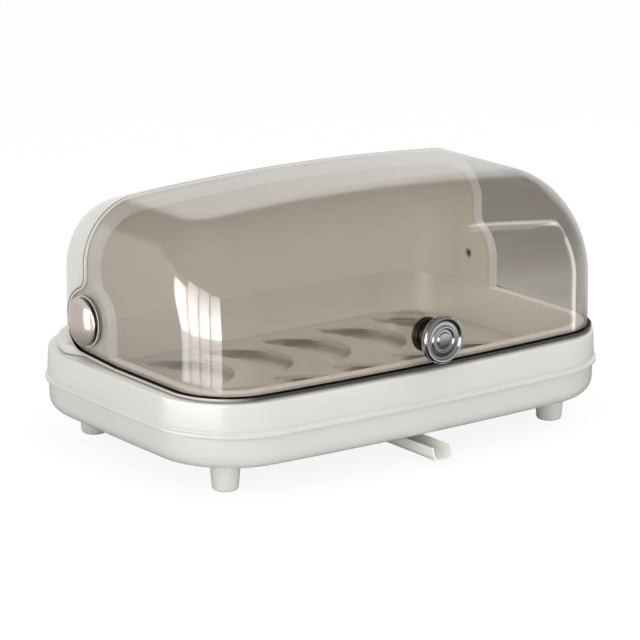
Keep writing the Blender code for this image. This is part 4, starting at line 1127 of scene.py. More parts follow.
@dataclass
class Base:
    """Base pan, the band over it and its four feet."""

    finishes: Finishes
    band_height: float = 28.9 * MM
    band_lean: float = 3.4 * MM
    band_wall: float = 2.8 * MM
    bead_proud: float = 2.0 * MM
    bead_height: float = 4.2 * MM
    groove: float = 0.5 * MM
    ledge_rise: float = 1.2 * MM
    ledge_fall: float = 0.35 * MM
    ledge_width: float = 6.0 * MM
    collar_gap: float = 0.5 * MM
    collar_wall: float = 1.4 * MM
    collar_drop: float = 12.0 * MM
    pan_inset: float = 3.0 * MM
    pan_draft: float = 0.8 * MM
    pan_depth: float = 28.0 * MM
    pan_wall: float = 2.6 * MM
    pan_round: float = 16.0 * MM
    pan_flat: float = 34.0 * MM
    lip_rise: float = 5.0 * MM
    lip_wall: float = 1.8 * MM
    outlet_hole: float = 7.4 * MM
    foot_x: float = 172.3 * MM
    foot_y: float = 99.8 * MM
    foot_top_radius: float = 13.0 * MM
    foot_end_radius: float = 10.8 * MM
    recess_radius: float = 4.5 * MM
    recess_depth: float = 12.0 * MM

    def build(self) -> None:
        """Builds the band, the pan and the feet."""
        self.band()
        self.pan()
        for side, word in SIDES:
            self.foot(f"front_{word}", side * self.foot_x, -self.foot_y)
            self.foot(f"rear_{word}", side * self.foot_x, self.foot_y)

    def band(self) -> None:
        """Band with the bead at its foot and the ledge that the lid closes on.

        A closed profile is carried round the base: its outer rows follow the base's outline
        and its inner rows the tray's, which the flat ledge joins. The last outer and the first
        inner corner only aim the ledge and are left out.
        """
        low = PARTING + SEAT
        top = PARTING + self.band_height
        bead_top = low + self.bead_height
        outer = rounded([
            (self.bead_proud + self.band_wall, low, 0.0),
            (0.2 * MM, low, 0.9 * MM),
            (0.0, bead_top - 1.6 * MM, 1.4 * MM),
            (self.bead_proud + self.groove, bead_top + 0.2 * MM, 1.2 * MM),
            (self.bead_proud, bead_top + 2.0 * MM, 3.0 * MM),
            (self.band_lean - 0.4 * MM, top - 2.5 * MM, 4.0 * MM),
            (self.band_lean, top, 2.2 * MM),
            (self.band_lean + 9.0 * MM, top, 0.0),
        ])
        ledge = top + self.ledge_rise
        collar = -self.collar_gap
        inner = rounded([
            (collar - self.ledge_width, ledge - self.ledge_fall, 0.0),
            (collar, ledge, 0.5 * MM),
            (collar, top - self.collar_drop, 0.3 * MM),
            (collar - self.collar_wall, top - self.collar_drop, 0.3 * MM),
            (collar - self.collar_wall, top - 2.6 * MM, 0.3 * MM),
        ])
        under = np.array([
            (self.band_lean + self.band_wall, top - 4.6 * MM),
            (self.band_wall + self.bead_proud, low + 6.0 * MM),
        ])
        rows = np.concatenate([
            BASE_PLAN.rows(outer[:-1]), TRAY_PLAN.rows(inner[1:]), BASE_PLAN.rows(under)
        ])
        Shell("base_band").grid(rows, wrap_rows=True, wrap_columns=True).piece(
            self.finishes.ivory, Body.BASE, Slot.IVORY, ("base_frame",)
        )

    def pan(self) -> None:
        """Pan below the parting line, its bottom edge a wide round.

        A closed profile runs from the middle of the bottom out to the round, up to the lip and
        back along the inner wall. The flat bottom is the round's last row drawn to a point.
        """
        top = PARTING - SEAT
        bottom = PARTING - self.pan_depth
        side = self.pan_inset + self.pan_draft
        lip = self.band_wall + self.bead_proud + SEAT
        rows = BASE_PLAN.rows(rounded([
            (side + self.pan_flat, bottom, 0.0),
            (side, bottom, self.pan_round),
            (self.pan_inset, top, 0.5 * MM),
            (lip, top, 0.0),
            (lip, top + self.lip_rise, 0.3 * MM),
            (lip + self.lip_wall, top + self.lip_rise, 0.3 * MM),
            (side + self.pan_wall, top - 4.0 * MM, 0.5 * MM),
            (side + self.pan_wall, bottom + self.pan_wall, self.pan_round - self.pan_wall),
            (side + self.pan_flat, bottom + self.pan_wall, 0.0),
        ], 10))
        shell = Shell("base_pan_shell").grid(rows, wrap_columns=True)
        for row in (rows[0], rows[-1]):
            middle = np.zeros_like(row)
            middle[:, 2] = row[:, 2]
            shell.grid(np.stack([row, middle + (row - middle) * 0.5, middle]), wrap_columns=True)
        hole = pillar(self.outlet_hole, bottom - 5 * MM, top, (0, 0, 1), (*OUTLET, 0.0))
        shell.piece(self.finishes.ivory, Body.BASE, Slot.IVORY, ("base_pan",), [hole])

    def foot(self, word: str, x: float, y: float) -> None:
        """One tapered foot with a screw recess in its end.

        Args:
            word: which foot.
            x: its place along X.
            y: its place along Y.
        """
        top = PARTING - self.pan_depth - SEAT
        profile = rounded([
            (SCREW_BORE, self.recess_depth, 0.0),
            (self.recess_radius, self.recess_depth, 0.2 * MM),
            (self.recess_radius, 0.0, 0.6 * MM),
            (self.foot_end_radius, 0.0, 3.0 * MM),
            (self.foot_top_radius, top, 0.4 * MM),
            (SCREW_BORE, top, 0.0),
        ])
        # Feet in the lighter white: painted light under the pan
        turned(f"foot_tapered_{word}", profile, (0, 0, 1), (x, y, 0.0)).piece(
            self.finishes.white, Body.BASE, Slot.IVORY, (f"foot_{word}",)
        )


@dataclass
class Tray:
    """Drip tray whose flat rim stands inside the lid, and the loose drain rack in it."""

    finishes: Finishes
    rim_top: float = 36.2 * MM
    rim_width: float = 8.5 * MM
    rim_skirt: float = 12.0 * MM
    draft: float = 3.4 * MM
    wall: float = 2.4 * MM
    seat: float = -3.3 * MM
    seat_width: float = 4.0 * MM
    floor: float = -11.5 * MM
    floor_run: float = 20.0 * MM
    floor_wall: float = 2.2 * MM
    outlet_bore: float = 4.8 * MM
    outlet_wall: float = 1.6 * MM
    funnel_radius: float = 25.0 * MM
    funnel_drop: float = 3.0 * MM
    tube_length: float = 21.5 * MM
    rack_thick: float = 2.8 * MM
    rack_gap: float = 1.0 * MM
    slot_count: int = 6
    slot_pitch: float = 62.2 * MM
    slot_radius: float = 51.5 * MM
    slot_ends: Pair = (math.radians(91), math.radians(-85))
    slot_rows: Pair = (54.5 * MM, -57.0 * MM)
    slot_bulge: float = 10.5 * MM
    slot_tail: float = 15.0 * MM
    slot_shift: float = 2.5 * MM
    ripple: float = 1.1 * MM
    ripples: int = 5

    def build(self) -> None:
        """Builds the tray and the rack."""
        self.tray()
        self.rack()

    def outlet_rows(self, profile: Array) -> Array:
        """Carries a profile round the outlet, its points facing those of the tray's outline.

        Args:
            profile: pairs of radius and height.

        Returns:
            One row of points for each pair.
        """
        spot = np.array(OUTLET)
        radius, height = profile.T
        plan = spot + radius[:, None, None] * unit(TRAY_PLAN.loop() - spot)[None]
        return np.concatenate(
            [plan, np.broadcast_to(height[:, None, None], (*plan.shape[:2], 1))], 2
        )

    def tray(self) -> None:
        """Tray from the skirt of its rim down to the tube of its outlet, and back outside."""
        top = PARTING + self.rim_top
        seat = PARTING + self.seat
        floor = PARTING + self.floor
        side = self.rim_width + self.draft
        shelf = side + self.seat_width
        upper = rounded([
            (0.0, top - self.rim_skirt, 0.0),
            (0.0, top, 0.7 * MM),
            (self.rim_width, top, 0.5 * MM),
            (side, seat, 1.2 * MM),
            (shelf, seat, 0.6 * MM),
            (shelf + 1.0 * MM, floor, 3.0 * MM),
            (shelf + self.floor_run, floor, 0.0),
        ])
        low = floor - self.funnel_drop
        end = low - self.tube_length
        tube = self.outlet_bore + self.outlet_wall
        outlet = rounded([
            (self.funnel_radius, floor - 1.5 * MM, 0.0),
            (self.outlet_bore, low, 3.0 * MM),
            (self.outlet_bore, end, 0.4 * MM),
            (tube, end, 0.4 * MM),
            (tube, low - 2.4 * MM, 2.0 * MM),
            (self.funnel_radius, floor - 3.7 * MM, 0.0),
        ])
        under = rounded([
            (shelf + self.floor_run, floor - self.floor_wall, 0.0),
            (shelf - 1.2 * MM, floor - self.floor_wall, 3.0 * MM),
            (shelf - 2.2 * MM, seat - self.floor_wall, 0.6 * MM),
            (side - self.wall, seat - self.floor_wall, 0.8 * MM),
            (self.rim_width - self.wall, top - 2.6 * MM, 0.8 * MM),
            (self.wall, top - self.wall, 0.4 * MM),
            (self.wall, top - self.rim_skirt, 0.0),
        ])
        rows = np.concatenate(
            [TRAY_PLAN.rows(upper[:-1]), self.outlet_rows(outlet), TRAY_PLAN.rows(under)]
        )
        Shell("tray_skin").grid(rows, wrap_rows=True, wrap_columns=True).piece(
            self.finishes.deep_beige, Body.BASE, Slot.BEIGE, ("drip_tray",)
        )

    def slot_cutter(self, tail_x: float, centre_y: float) -> bpy.types.Mesh:
        """Leaf-shaped slot as a closed mesh.

        The outer side is an arc. The hollow side runs from the leaf's tip to the tail, bulged
        by half a sine and rippled by a short sine.

        Args:
            tail_x: X of the slot's tail.
            centre_y: Y of the arc's centre.

        Returns:
            The closed mesh.
        """
        outer = arc((tail_x + self.slot_shift, centre_y), self.slot_radius, *self.slot_ends, 48)
        start = outer[-1]
        end = np.array([
            outer[0, 0] - self.slot_shift, centre_y + self.slot_radius - self.slot_tail
        ])
        share = np.linspace(0.0, 1.0, 121)[1:]
        inner = start + (end - start) * share[:, None]
        inner[:, 0] += self.slot_bulge * np.sin(math.pi * share)
        inner[:, 0] += self.ripple * np.sin(math.tau * self.ripples * share)
        outline = np.concatenate([outer, inner])
        seat = PARTING + self.seat
        return Shell("slot").bar(np.stack([
            np.column_stack([outline, np.full(len(outline), z)])
            for z in (seat - 2 * MM, seat + self.rack_thick + 3 * MM)
        ])).mesh()

    def rack(self) -> None:
        """Drain rack: a plate with rounded edges and two rows of leaf-shaped slots."""
        low = PARTING + self.seat + SEAT
        high = low + self.rack_thick
        edge = self.rim_width + self.draft + self.rack_gap
        inside = edge + 12 * MM
        profile = rounded(
            [(edge, low, 0.5 * MM), (edge, high, 0.9 * MM), (inside, high, 0.0), (inside, low, 0.0)],
            4,
        )
        width = self.slot_shift + self.slot_radius
        first = -((self.slot_count - 1) * self.slot_pitch + width) / 2
        cutters = [
            self.slot_cutter(first + self.slot_pitch * step, y)
            for y in self.slot_rows for step in range(self.slot_count)
        ]
        Shell("rack_plate").bar(TRAY_PLAN.rows(profile[:-2])).piece(
            self.finishes.dull_beige, Body.RACK, Slot.BEIGE, ("drain_rack",), cutters
        )


@dataclass
class RearCover:
    """Fixed rear cover with its ears, the liner inside it and the skirt at its foot."""

    finishes: Finishes
    top_radius: float = 104.9 * MM
    shoulder: float = 70.0 * MM
    rear: float = 130.3 * MM
    half_length: float = 208.0 * MM
    end_radius: float = 46.7 * MM
    rear_corner: float = 60.0 * MM
    rear_bow: float = 5.0 * MM
    crown: float = 10.9 * MM
    ear_front: float = 18.5 * MM
    roof_front: float = 41.0 * MM
    ear_fillet: float = 12.0 * MM
    foot: float = 36.25 * MM
    wall: float = 2.4 * MM
    soft: float = 0.8 * MM
    liner_inset: float = 8.8 * MM
    liner_wall: float = 2.0 * MM
    liner_hole: float = 4.5 * MM
    upright_steps: int = 22
    shoulder_steps: int = 30
    roof_steps: int = 18
    wall_steps: int = 48
    skirt_proud: float = 8.6 * MM
    skirt_deep: float = 0.5 * MM
    skirt_height: float = 2.2 * MM
    skirt_tuck: Pair = (6.0 * MM, 26.0 * MM)
    skirt_least: float = 0.2
    lobe_clear: float = 30.2 * MM

    def build(self) -> None:
        """Builds the shell, the liner and the skirt."""
        self.shell()
        self.liner()
        self.skirt()

    def section(self, offset: float, front: float) -> Section:
        """Side section from the rear wall's foot over the shoulder and roof to the front edge.

        The roof is an arc about the pivot, the shoulder an arc that touches it and the upright
        rear wall.

        Args:
            offset: distance inside the outer skin.
            front: Y of the front edge.

        Returns:
            The section.
        """
        roof = self.top_radius - offset
        shoulder = self.shoulder - offset
        reach = self.rear - offset - shoulder - PIVOT_Y
        turn = math.asin(reach / (roof - shoulder))
        start = math.asin((front - PIVOT_Y) / roof)
        centre = (self.rear - offset - shoulder, PIVOT_Z + (roof - shoulder) * math.cos(turn))
        upright = np.linspace(PARTING + self.foot, centre[1], self.upright_steps, endpoint=False)
        bend = np.linspace(math.pi / 2, turn, self.shoulder_steps, endpoint=False)
        top = np.linspace(turn, start, self.roof_steps)
        y = np.concatenate([
            np.full(len(upright), self.rear - offset),
            centre[0] + shoulder * np.sin(bend), PIVOT_Y + roof * np.sin(top),
        ])
        z = np.concatenate([
            upright, centre[1] + shoulder * np.cos(bend), PIVOT_Z + roof * np.cos(top),
        ])
        pull_y = np.concatenate([np.ones(len(upright)), np.sin(bend), np.maximum(0, np.sin(top))])
        pull_z = np.concatenate([np.zeros(len(upright)), np.cos(bend), np.cos(top)])
        return Section(y, z, pull_y, pull_z)

    def ear_edge(self, set_back: float, upper: Array) -> Array:
        """Front edge of the ear from the roof down: fillet, lobe round the pivot, upright foot.

        Args:
            set_back: distance behind the outer edge.
            upper: Y and Z where the end round meets the wall at the front edge.

        Returns:
            Y and Z along the edge.
        """
        edge = self.ear_front + set_back
        radius = PIVOT_Y - edge
        fillet = self.ear_fillet + set_back
        fillet_y = self.roof_front + set_back - fillet
        rise = math.sqrt((radius + fillet) ** 2 - (PIVOT_Y - fillet_y) ** 2)
        meet = math.atan2(rise, fillet_y - PIVOT_Y)
        bend = arc((fillet_y, PIVOT_Z + rise), fillet, 0.0, meet - math.pi, 24)
        lobe = arc((PIVOT_Y, PIVOT_Z), radius, meet, math.pi, 40)
        foot = np.array([(edge, PARTING + self.foot)])
        return np.concatenate([upper[None], bend, lobe, foot])

    def skin(self, offset: float, set_back: float) -> Array:
        """One skin of the cover with its end walls down to the foot.

        Each row's way over the wall is straight from the end round to the foot. To this is
        added, in proportion to the squared share of the way to the front, what bends the last
        row into the ear's edge.

        Args:
            offset: distance inside the outer skin.
            set_back: distance of its front edge behind the outer one.

        Returns:
            Points as rows from the rear foot to the front edge.
        """
        dome = Dome(
            self.half_length - offset, self.end_radius - offset, self.rear_corner - offset,
            self.rear_bow, self.crown,
        )
        section = self.section(offset, self.roof_front + set_back)
        starts = dome.ends(section)
        spread = shares_of(starts)
        foot_y = starts[0, 0] + (self.ear_front + set_back - starts[0, 0]) * spread
        ends = np.stack([foot_y, np.full(len(foot_y), PARTING + self.foot)], 1)
        share = np.linspace(0.0, 1.0, self.wall_steps + 1)
        straight = starts[:, None] + (ends - starts)[:, None] * share[None, :, None]
        bent = along(self.ear_edge(set_back, starts[-1]), share) - straight[-1]
        return dome.skin(section, straight + spread[:, None, None] ** 2 * bent[None])

    def shell(self) -> None:
        """White shell: outer skin, returned front strip with soft edges, inner skin."""
        soft, inset = self.soft, self.liner_inset
        strip = np.stack([self.skin(offset, back)[-1] for offset, back in (
            (soft * 0.3, 0.0), (soft, 0.0), (inset - soft * 0.8, 0.0),
            (inset - soft * 0.25, soft * 0.15), (inset, soft * 0.8), (inset, self.wall),
            (self.wall, self.wall),
        )])
        rows = np.concatenate([
            self.skin(0.0, 0.0), strip, self.skin(self.wall, self.wall)[-2::-1]
        ])
        Shell("cover_shell").strip(rows).piece(
            self.finishes.ivory, Body.BASE, Slot.IVORY, ("rear_cover",)
        )

    def liner(self) -> None:
        """Beige liner behind the front strip, with a hole for each pivot screw."""
        back = self.wall + SEAT
        rows = np.concatenate([
            self.skin(self.liner_inset - self.liner_wall, back),
            self.skin(self.liner_inset, back)[::-1],
        ])
        Shell("cover_liner").strip(rows).piece(
            self.finishes.beige, Body.BASE, Slot.BEIGE, ("rear_liner",),
            pivot_holes(self.liner_hole, self.half_length - self.liner_inset),
        )

    def skirt(self) -> None:
        """Foot of the cover standing out over the rear ledge.

        A closed profile is carried along the rear part of the tray's outline, from inside one
        lobe round the back to inside the other, and its ends are closed. Towards its ends it
        draws in behind the lobes, and at each Y its top is no higher than a circle about the
        pivot.
        """
        foot = PARTING + self.foot
        top = foot + self.skirt_height
        low = PARTING + Base.band_height + Base.ledge_rise + SEAT
        profile = rounded([
            (-self.skirt_deep, low, 0.2 * MM),
            (-self.skirt_proud, low - 0.4 * MM, 0.6 * MM),
            (-self.skirt_proud, top, 1.4 * MM),
            (1.2 * MM, top, 0.3 * MM),
            (1.2 * MM, foot + 0.3 * MM, 0.2 * MM),
            (-self.skirt_deep, foot + 0.3 * MM, 0.2 * MM),
        ], 5)
        near, far = self.skirt_tuck
        behind = cyclic_run(TRAY_PLAN.loop()[:, 1] > PIVOT_Y + near - 4.0 * MM)
        rows = TRAY_PLAN.rows(profile)[:, behind]
        core = TRAY_PLAN.rows(
            np.stack([np.full(len(profile), -self.skirt_deep), profile[:, 1]], 1)
        )[:, behind]
        y = rows[..., 1] - PIVOT_Y
        full = np.clip((y - near) / (far - near), 0.0, 1.0)
        full = self.skirt_least + (1 - self.skirt_least) * full ** 2 * (3 - 2 * full)
        rows[..., :2] = core[..., :2] + (rows - core)[..., :2] * full[..., None]
        circle = np.sqrt(np.maximum(self.lobe_clear ** 2 - y ** 2, 0.0))
        span = max(float(profile[:, 1].max()) - low, MM)
        share = np.clip((rows[..., 2] - low) / span, 0.0, None)
        rows[..., 2] = low + share * np.clip(PIVOT_Z - circle - low, 0.3 * MM, span)
        Shell("cover_skirt").strip(rows).piece(self.finishes.ivory, Body.BASE, Slot.IVORY)


@dataclass
class FlipLid:
    """Smoked lid: domed skin with a lobe at each pivot, and the lines along its border."""

    finishes: Finishes
    half_length: float = 211.0 * MM
    front: float = 143.3 * MM
    front_radius: float = 94.7 * MM
    lean: float = 0.009
    top: float = 170.25 * MM
    end_radius: float = 49.7 * MM
    bow: float = 9.0 * MM
    crown: float = 10.9 * MM
    wall: float = 2.0 * MM
    foot: float = 30.6 * MM
    foot_bend: float = 30.0 * MM
    rear_edge: float = 51.5 * MM
    lobe_radius: float = 29.0 * MM
    lobe_fillet: float = 12.0 * MM
    pivot_hole: float = 10.5 * MM
    knob_hole: float = 2.8 * MM
    knob_height: float = 60.0 * MM
    front_steps: int = 14
    arc_steps: int = 60
    roof_steps: int = 40
    wall_steps: int = 20
    # Shares of the end round, and the shares of the wall's border that they lead to
    round_shares: tuple[float, ...] = (0.0, 0.16, 0.50, 0.80, 1.0)
    border_shares: tuple[float, ...] = (0.0, 0.30, 0.56, 0.86, 1.0)
    edge_round: float = 0.25 * MM
    rim_width: float = 3.5 * MM
    rim_thick: float = 2.8 * MM
    rim_end: float = 12.0 * MM
    line_overlap: float = 0.8 * MM

    def build(self) -> None:
        """Builds the domed wall and the lines along its border."""
        outer, inner = (self.skin(offset) for offset in (0.0, self.wall))
        self.dome(outer, inner)
        self.border_lines(outer, inner)

    def section(self, offset: float) -> Section:
        """Side section from the front foot up the leaning front, over the arc and the roof.

        Args:
            offset: distance inside the outer skin.

        Returns:
            The section.
        """
        radius = self.front_radius - offset
        top = PARTING + self.top - offset
        foot = PARTING + self.foot
        front = offset - self.front
        centre_z = top - radius
        shift = (centre_z - foot) * math.tan(self.lean)
        centre_y = front + shift + radius / math.cos(self.lean)
        angle = np.linspace(math.pi - self.lean, math.pi / 2, self.arc_steps + 1)
        arc_y = centre_y + radius * np.cos(angle)
        arc_z = centre_z + radius * np.sin(angle)
        rise = np.linspace(0.0, 1.0, self.front_steps, endpoint=False)
        roof = np.linspace(0.0, 1.0, self.roof_steps + 1)[1:]
        return Section(
            y=np.concatenate([
                front + (arc_y[0] - front) * rise, arc_y,
                arc_y[-1] + (self.rear_edge - arc_y[-1]) * roof,
            ]),
            z=np.concatenate([foot + (arc_z[0] - foot) * rise, arc_z, np.full(len(roof), top)]),
            pull_y=np.concatenate([
                np.full(len(rise), np.cos(angle[0])), np.cos(angle), np.zeros(len(roof))
            ]),
            pull_z=np.concatenate([np.zeros(len(rise)), np.sin(angle), np.ones(len(roof))]),
        )

    def outline(self, first: Array, last: Array) -> Array:
        """Border of the end wall: foot line, rise to the lobe, lobe, fillet and rear edge.

        Args:
            first: Y and Z where the border starts at the front.
            last: Y and Z where it ends at the roof.

        Returns:
            Y and Z along the border.
        """
        foot = PARTING + self.foot
        height = PIVOT_Z - foot
        rise = math.atan2(height, PIVOT_Y) - math.asin(self.lobe_radius / math.hypot(PIVOT_Y, height))
        fillet_y = self.rear_edge + self.lobe_fillet
        over = math.sqrt((self.lobe_radius + self.lobe_fillet) ** 2 - (fillet_y - PIVOT_Y) ** 2)
        meet = math.atan2(over, fillet_y - PIVOT_Y)
        lobe = arc((PIVOT_Y, PIVOT_Z), self.lobe_radius, rise - math.pi / 2, meet, 72)
        fillet = arc((fillet_y, PIVOT_Z + over), self.lobe_fillet, meet + math.pi, math.pi, 16)
        bend = rounded(
            [(-40 * MM, foot, 0.0), (0.0, foot, self.foot_bend), (*lobe[0], 0.0)], 12
        )
        return np.concatenate([first[None], bend[:-1], lobe, fillet, last[None]])

    def skin(self, offset: float) -> Array:
        """One skin of the lid, its end walls filled out to the border.

        Every row goes straight from the end round to a point of the border.

        Args:
            offset: distance inside the outer skin.

        Returns:
            Points as rows from the front foot to the roof's rear edge.
        """
        end_radius = self.end_radius - offset
        dome = Dome(self.half_length - offset, end_radius, end_radius, self.bow, self.crown)
        section = self.section(offset)
        starts = dome.ends(section)
        shares = np.interp(shares_of(starts), self.round_shares, self.border_shares)
        ends = along(self.outline(starts[0], starts[-1]), shares)
        share = np.linspace(0.0, 1.0, self.wall_steps + 1)
        return dome.skin(section, starts[:, None] + (ends - starts)[:, None] * share[None, :, None])

    def dome(self, outer: Array, inner: Array) -> None:
        """Domed wall: outer and inner skin joined by a soft edge all round.

        The edge's rows go from the outer to the inner border. Across the wall they follow a
        flattened cosine, and outwards a flattened sine, which rounds the edge.

        Args:
            outer: the outer skin.
            inner: the inner skin.
        """
        first, last = border(outer), border(inner)
        out = unit(first - beside_border(outer)) * self.edge_round
        turn = np.linspace(0.0, math.pi, 9)[:, None, None]
        across = np.sign(np.cos(turn)) * np.abs(np.cos(turn)) ** 0.5
        middle, half = (first + last) / 2, (first - last) / 2
        rows = middle[None] + half[None] * across + out[None] * np.sin(turn) ** 0.5
        rows[0], rows[-1] = first, last
        knob = pillar(
            self.knob_hole, -HOLE_REACH, HOLE_REACH, (0, -1, 0),
            (0.0, -self.front, PARTING + self.knob_height),
        )
        shell = Shell("lid_smoked_dome").grid(outer).grid(inner).grid(rows, wrap_columns=True)
        shell.piece(
            self.finishes.smoke, Body.LID, Slot.SMOKE, ("lid",),
            [*pivot_holes(self.pivot_hole, self.half_length), knob],
        )

    def border_frame(self, outer: Array, inner: Array) -> tuple[Array, Array, Array]:
        """Border of the wall with the ways out of the wall and inward over it.

        The way out goes from the inner to the outer border, less what it has along the
        border. The way inward is square to it and to the border, on the skin's side.

        Args:
            outer: the outer skin.
            inner: the inner skin.

        Returns:
            Points, ways out and ways inward.
        """
        line, under, beside = border(outer), border(inner), beside_border(outer)
        fresh = np.linalg.norm(line - np.roll(line, 1, axis=0), axis=1) > 0.2 * MM
        line, under, beside = line[fresh], under[fresh], beside[fresh]
        course = unit(np.roll(line, -1, axis=0) - np.roll(line, 1, axis=0))
        out = line - under
        out = unit(out - course * np.sum(out * course, axis=1, keepdims=True))
        inward = np.cross(out, course)
        inward *= np.sign(np.sum(inward * (beside - line)))
        return line, out, inward

    def border_lines(self, outer: Array, inner: Array) -> None:
        """Lines along the lid's border.

        Along the foot and up under the lobes: a black piece of painted shade in the gap, and the
        rim's polished side, painted dark in front and pale at the left. Over the roof and down to
        the lobes: a grey line of painted shade and a pale line of painted highlight. Each is a
        closed profile of a way out and a way inward, carried along the border. Under the lobes the
        rim's profiles shrink with the height over the foot.

        Args:
            outer: the outer skin.
            inner: the inner skin.
        """
        line, out, inward = self.border_frame(outer, inner)
        limit = PIVOT_Z - self.rim_end
        low = cyclic_run(line[:, 2] < limit)
        high = cyclic_run(line[:, 2] > limit - self.line_overlap)
        near = np.clip((limit - line[:, 2]) / (self.lobe_radius - self.rim_end), 0.0, 1.0)
        whole = np.ones(len(line))
        looks = self.finishes
        for name, profile, held, shrink, finish in (
            # Black piece of painted shade in the gap under the rim
            ("lid_foot_gap_painted_shade", self.gap(), low, 0.2 + 0.8 * near, looks.gap),
            # Rim's polished side, painted dark in front and pale at the left
            ("lid_foot_rim", self.rim(), low, 0.3 + 0.7 * near, looks.side),
            ("lid_shaded_edge", self.lip(-0.2 * MM, 1.5 * MM), high, whole, looks.shaded_edge),
            # Pale line of painted highlight along the upper border
            ("lid_edge_painted_highlight", self.lip(1.45 * MM, 2.7 * MM), high, whole, looks.bright_edge),
        ):
            rows = line[held][None] + shrink[held][None, :, None] * (
                profile[:, 0][:, None, None] * out[held][None]
                + profile[:, 1][:, None, None] * inward[held][None]
            )
            Shell(name).strip(rows).piece(finish, Body.LID, Slot.SMOKE)

    def gap(self) -> Array:
        """Profile of the black piece of painted shade in the gap that wraps the rim.

        Returns:
            Pairs of the way out and the way inward.
        """
        near, thick, width = 0.05 * MM, self.rim_thick, self.rim_width - 0.35 * MM
        return rounded([
            (near, 0.6 * MM, 0.1 * MM), (width, 0.6 * MM, 0.2 * MM), (width, thick, 0.3 * MM),
            (0.6 * MM, thick, 0.3 * MM), (near, thick + 0.9 * MM, 0.1 * MM),
        ], 4)

    def rim(self) -> Array:
        """Profile of the rim's polished side.

        Returns:
            Pairs of the way out and the way inward.
        """
        near, top, width = self.rim_width - 1.3 * MM, self.rim_thick - 0.35 * MM, self.rim_width
        return rounded([
            (near, 0.1 * MM, 0.1 * MM), (width, 0.1 * MM, 0.5 * MM), (width, top, 0.7 * MM),
            (near, top, 0.1 * MM),
        ], 5)

    def lip(self, start: float, end: float) -> Array:
        """Profile of a line that wraps the wall's border.

        Args:
            start: where it begins on the way inward.
            end: where it ends.

        Returns:
            Pairs of the way out and the way inward.
        """
        proud = 0.1 * MM
        deep = -self.wall - proud
        return rounded([
            (deep, start, 0.3 * MM), (proud, start, 0.3 * MM), (proud, end, 0.08 * MM),
            (deep, end, 0.08 * MM),
        ], 5)


@dataclass
class Pivots:
    """Dark washer, pale ring of painted highlight, black disc of painted shade in the screw's socket
    and chrome cap at each end of the lid's line.
    """

    finishes: Finishes
    face: float = 211.3 * MM
    bore: float = 10.8 * MM
    washer_radius: float = 19.5 * MM
    washer_thick: float = 1.2 * MM
    ring_radii: Pair = (20.6 * MM, 22.0 * MM)
    ring_thick: float = 0.7 * MM
    screw_face: float = 199.8 * MM
    cap_radius: float = 21.0 * MM
    cap_thick: float = 6.2 * MM
    cap_back: float = 18.0 * MM
    cap_side: float = 3.1 * MM

    def build(self) -> None:
        """Builds the four pieces on both sides."""
        looks = self.finishes
        pieces = (
            ("pivot_ring", self.washer(), looks.black, Body.BASE, Slot.BLACK, "pivot_washer"),
            # Pale ring of painted highlight round the cap
            ("pivot_ring_bright", self.ring(), looks.bright_edge, Body.LID, Slot.SMOKE, ""),
            # Black disc of painted shade in the screw's recess
            ("pivot_screw_socket_painted_shade", self.socket(), looks.black, Body.BASE, Slot.STEEL, ""),
            # Cap tinted with a painted warm reflection
            ("pivot_cap_dome", self.cap(), looks.chrome_painted_reflection, Body.BASE, Slot.CHROME, "pivot_cap"),
        )
        for side, word in SIDES:
            for name, profile, finish, body, slot, node in pieces:
                shell = turned(f"{name}_{word}", profile, (side, 0, 0), (0.0, PIVOT_Y, PIVOT_Z))
                shell.piece(finish, body, slot, (f"{node}_{word}",) if node else ())

    def washer(self) -> Array:
        """Profile of the flat washer under the cap.

        Returns:
            Pairs of radius and distance along the line.
        """
        top = self.face + self.washer_thick
        return rounded([
            (self.bore, self.face, 0.0), (self.washer_radius, self.face, 0.3 * MM),
            (self.washer_radius, top, 0.4 * MM), (self.bore, top, 0.0),
        ], 4)

    def ring(self) -> Array:
        """Profile of the pale ring round the cap, a painted highlight on the turned edge of the lid's
        lobe.

        Returns:
            Pairs of radius and distance along the line.
        """
        (inner, outer), low, top = self.ring_radii, self.face + SEAT, self.face + self.ring_thick
        return rounded([
            (inner, low, 0.0), (outer, low, 0.25 * MM), (outer, top, 0.3 * MM),
            (inner, top, 0.3 * MM),
        ], 4)

    def socket(self) -> Array:
        """Profile of the black disc in the screw's head that shows inside the ear: painted shade of
        its recess.

        Returns:
            Pairs of radius and distance along the line.
        """
        low, top = self.screw_face - 0.5 * MM, self.screw_face + 0.3 * MM
        return rounded([
            (0.0, low, 0.0), (2.2 * MM, low, 0.3 * MM), (2.4 * MM, top, 0.1 * MM), (0.0, top, 0.0),
        ], 4)

    def cap(self) -> Array:
        """Profile of the cap: a flat back, a thin side and a face that bulges.

        The face's height falls from its middle with the radius to a power a little over two.

        Returns:
            Pairs of radius and distance along the line.
        """
        low = self.face + self.washer_thick + SEAT
        high = low + self.cap_thick
        back = rounded([
            (0.0, low, 0.0), (self.cap_back, low, 0.2 * MM),
            (self.cap_back, low + 1.6 * MM, 0.3 * MM),
            (self.cap_radius - 0.3 * MM, low + 1.6 * MM, 0.2 * MM),
            (self.cap_radius, low + 2.0 * MM, 0.3 * MM), (self.cap_radius, low + 2.8 * MM, 0.0),
        ], 4)
        radius = np.linspace(self.cap_radius * 0.985, 0.0, 29)
        bulge = high - (high - low - self.cap_side) * (radius / self.cap_radius) ** 2.2
        return distinct(np.concatenate([back, np.stack([radius, bulge], 1)]))


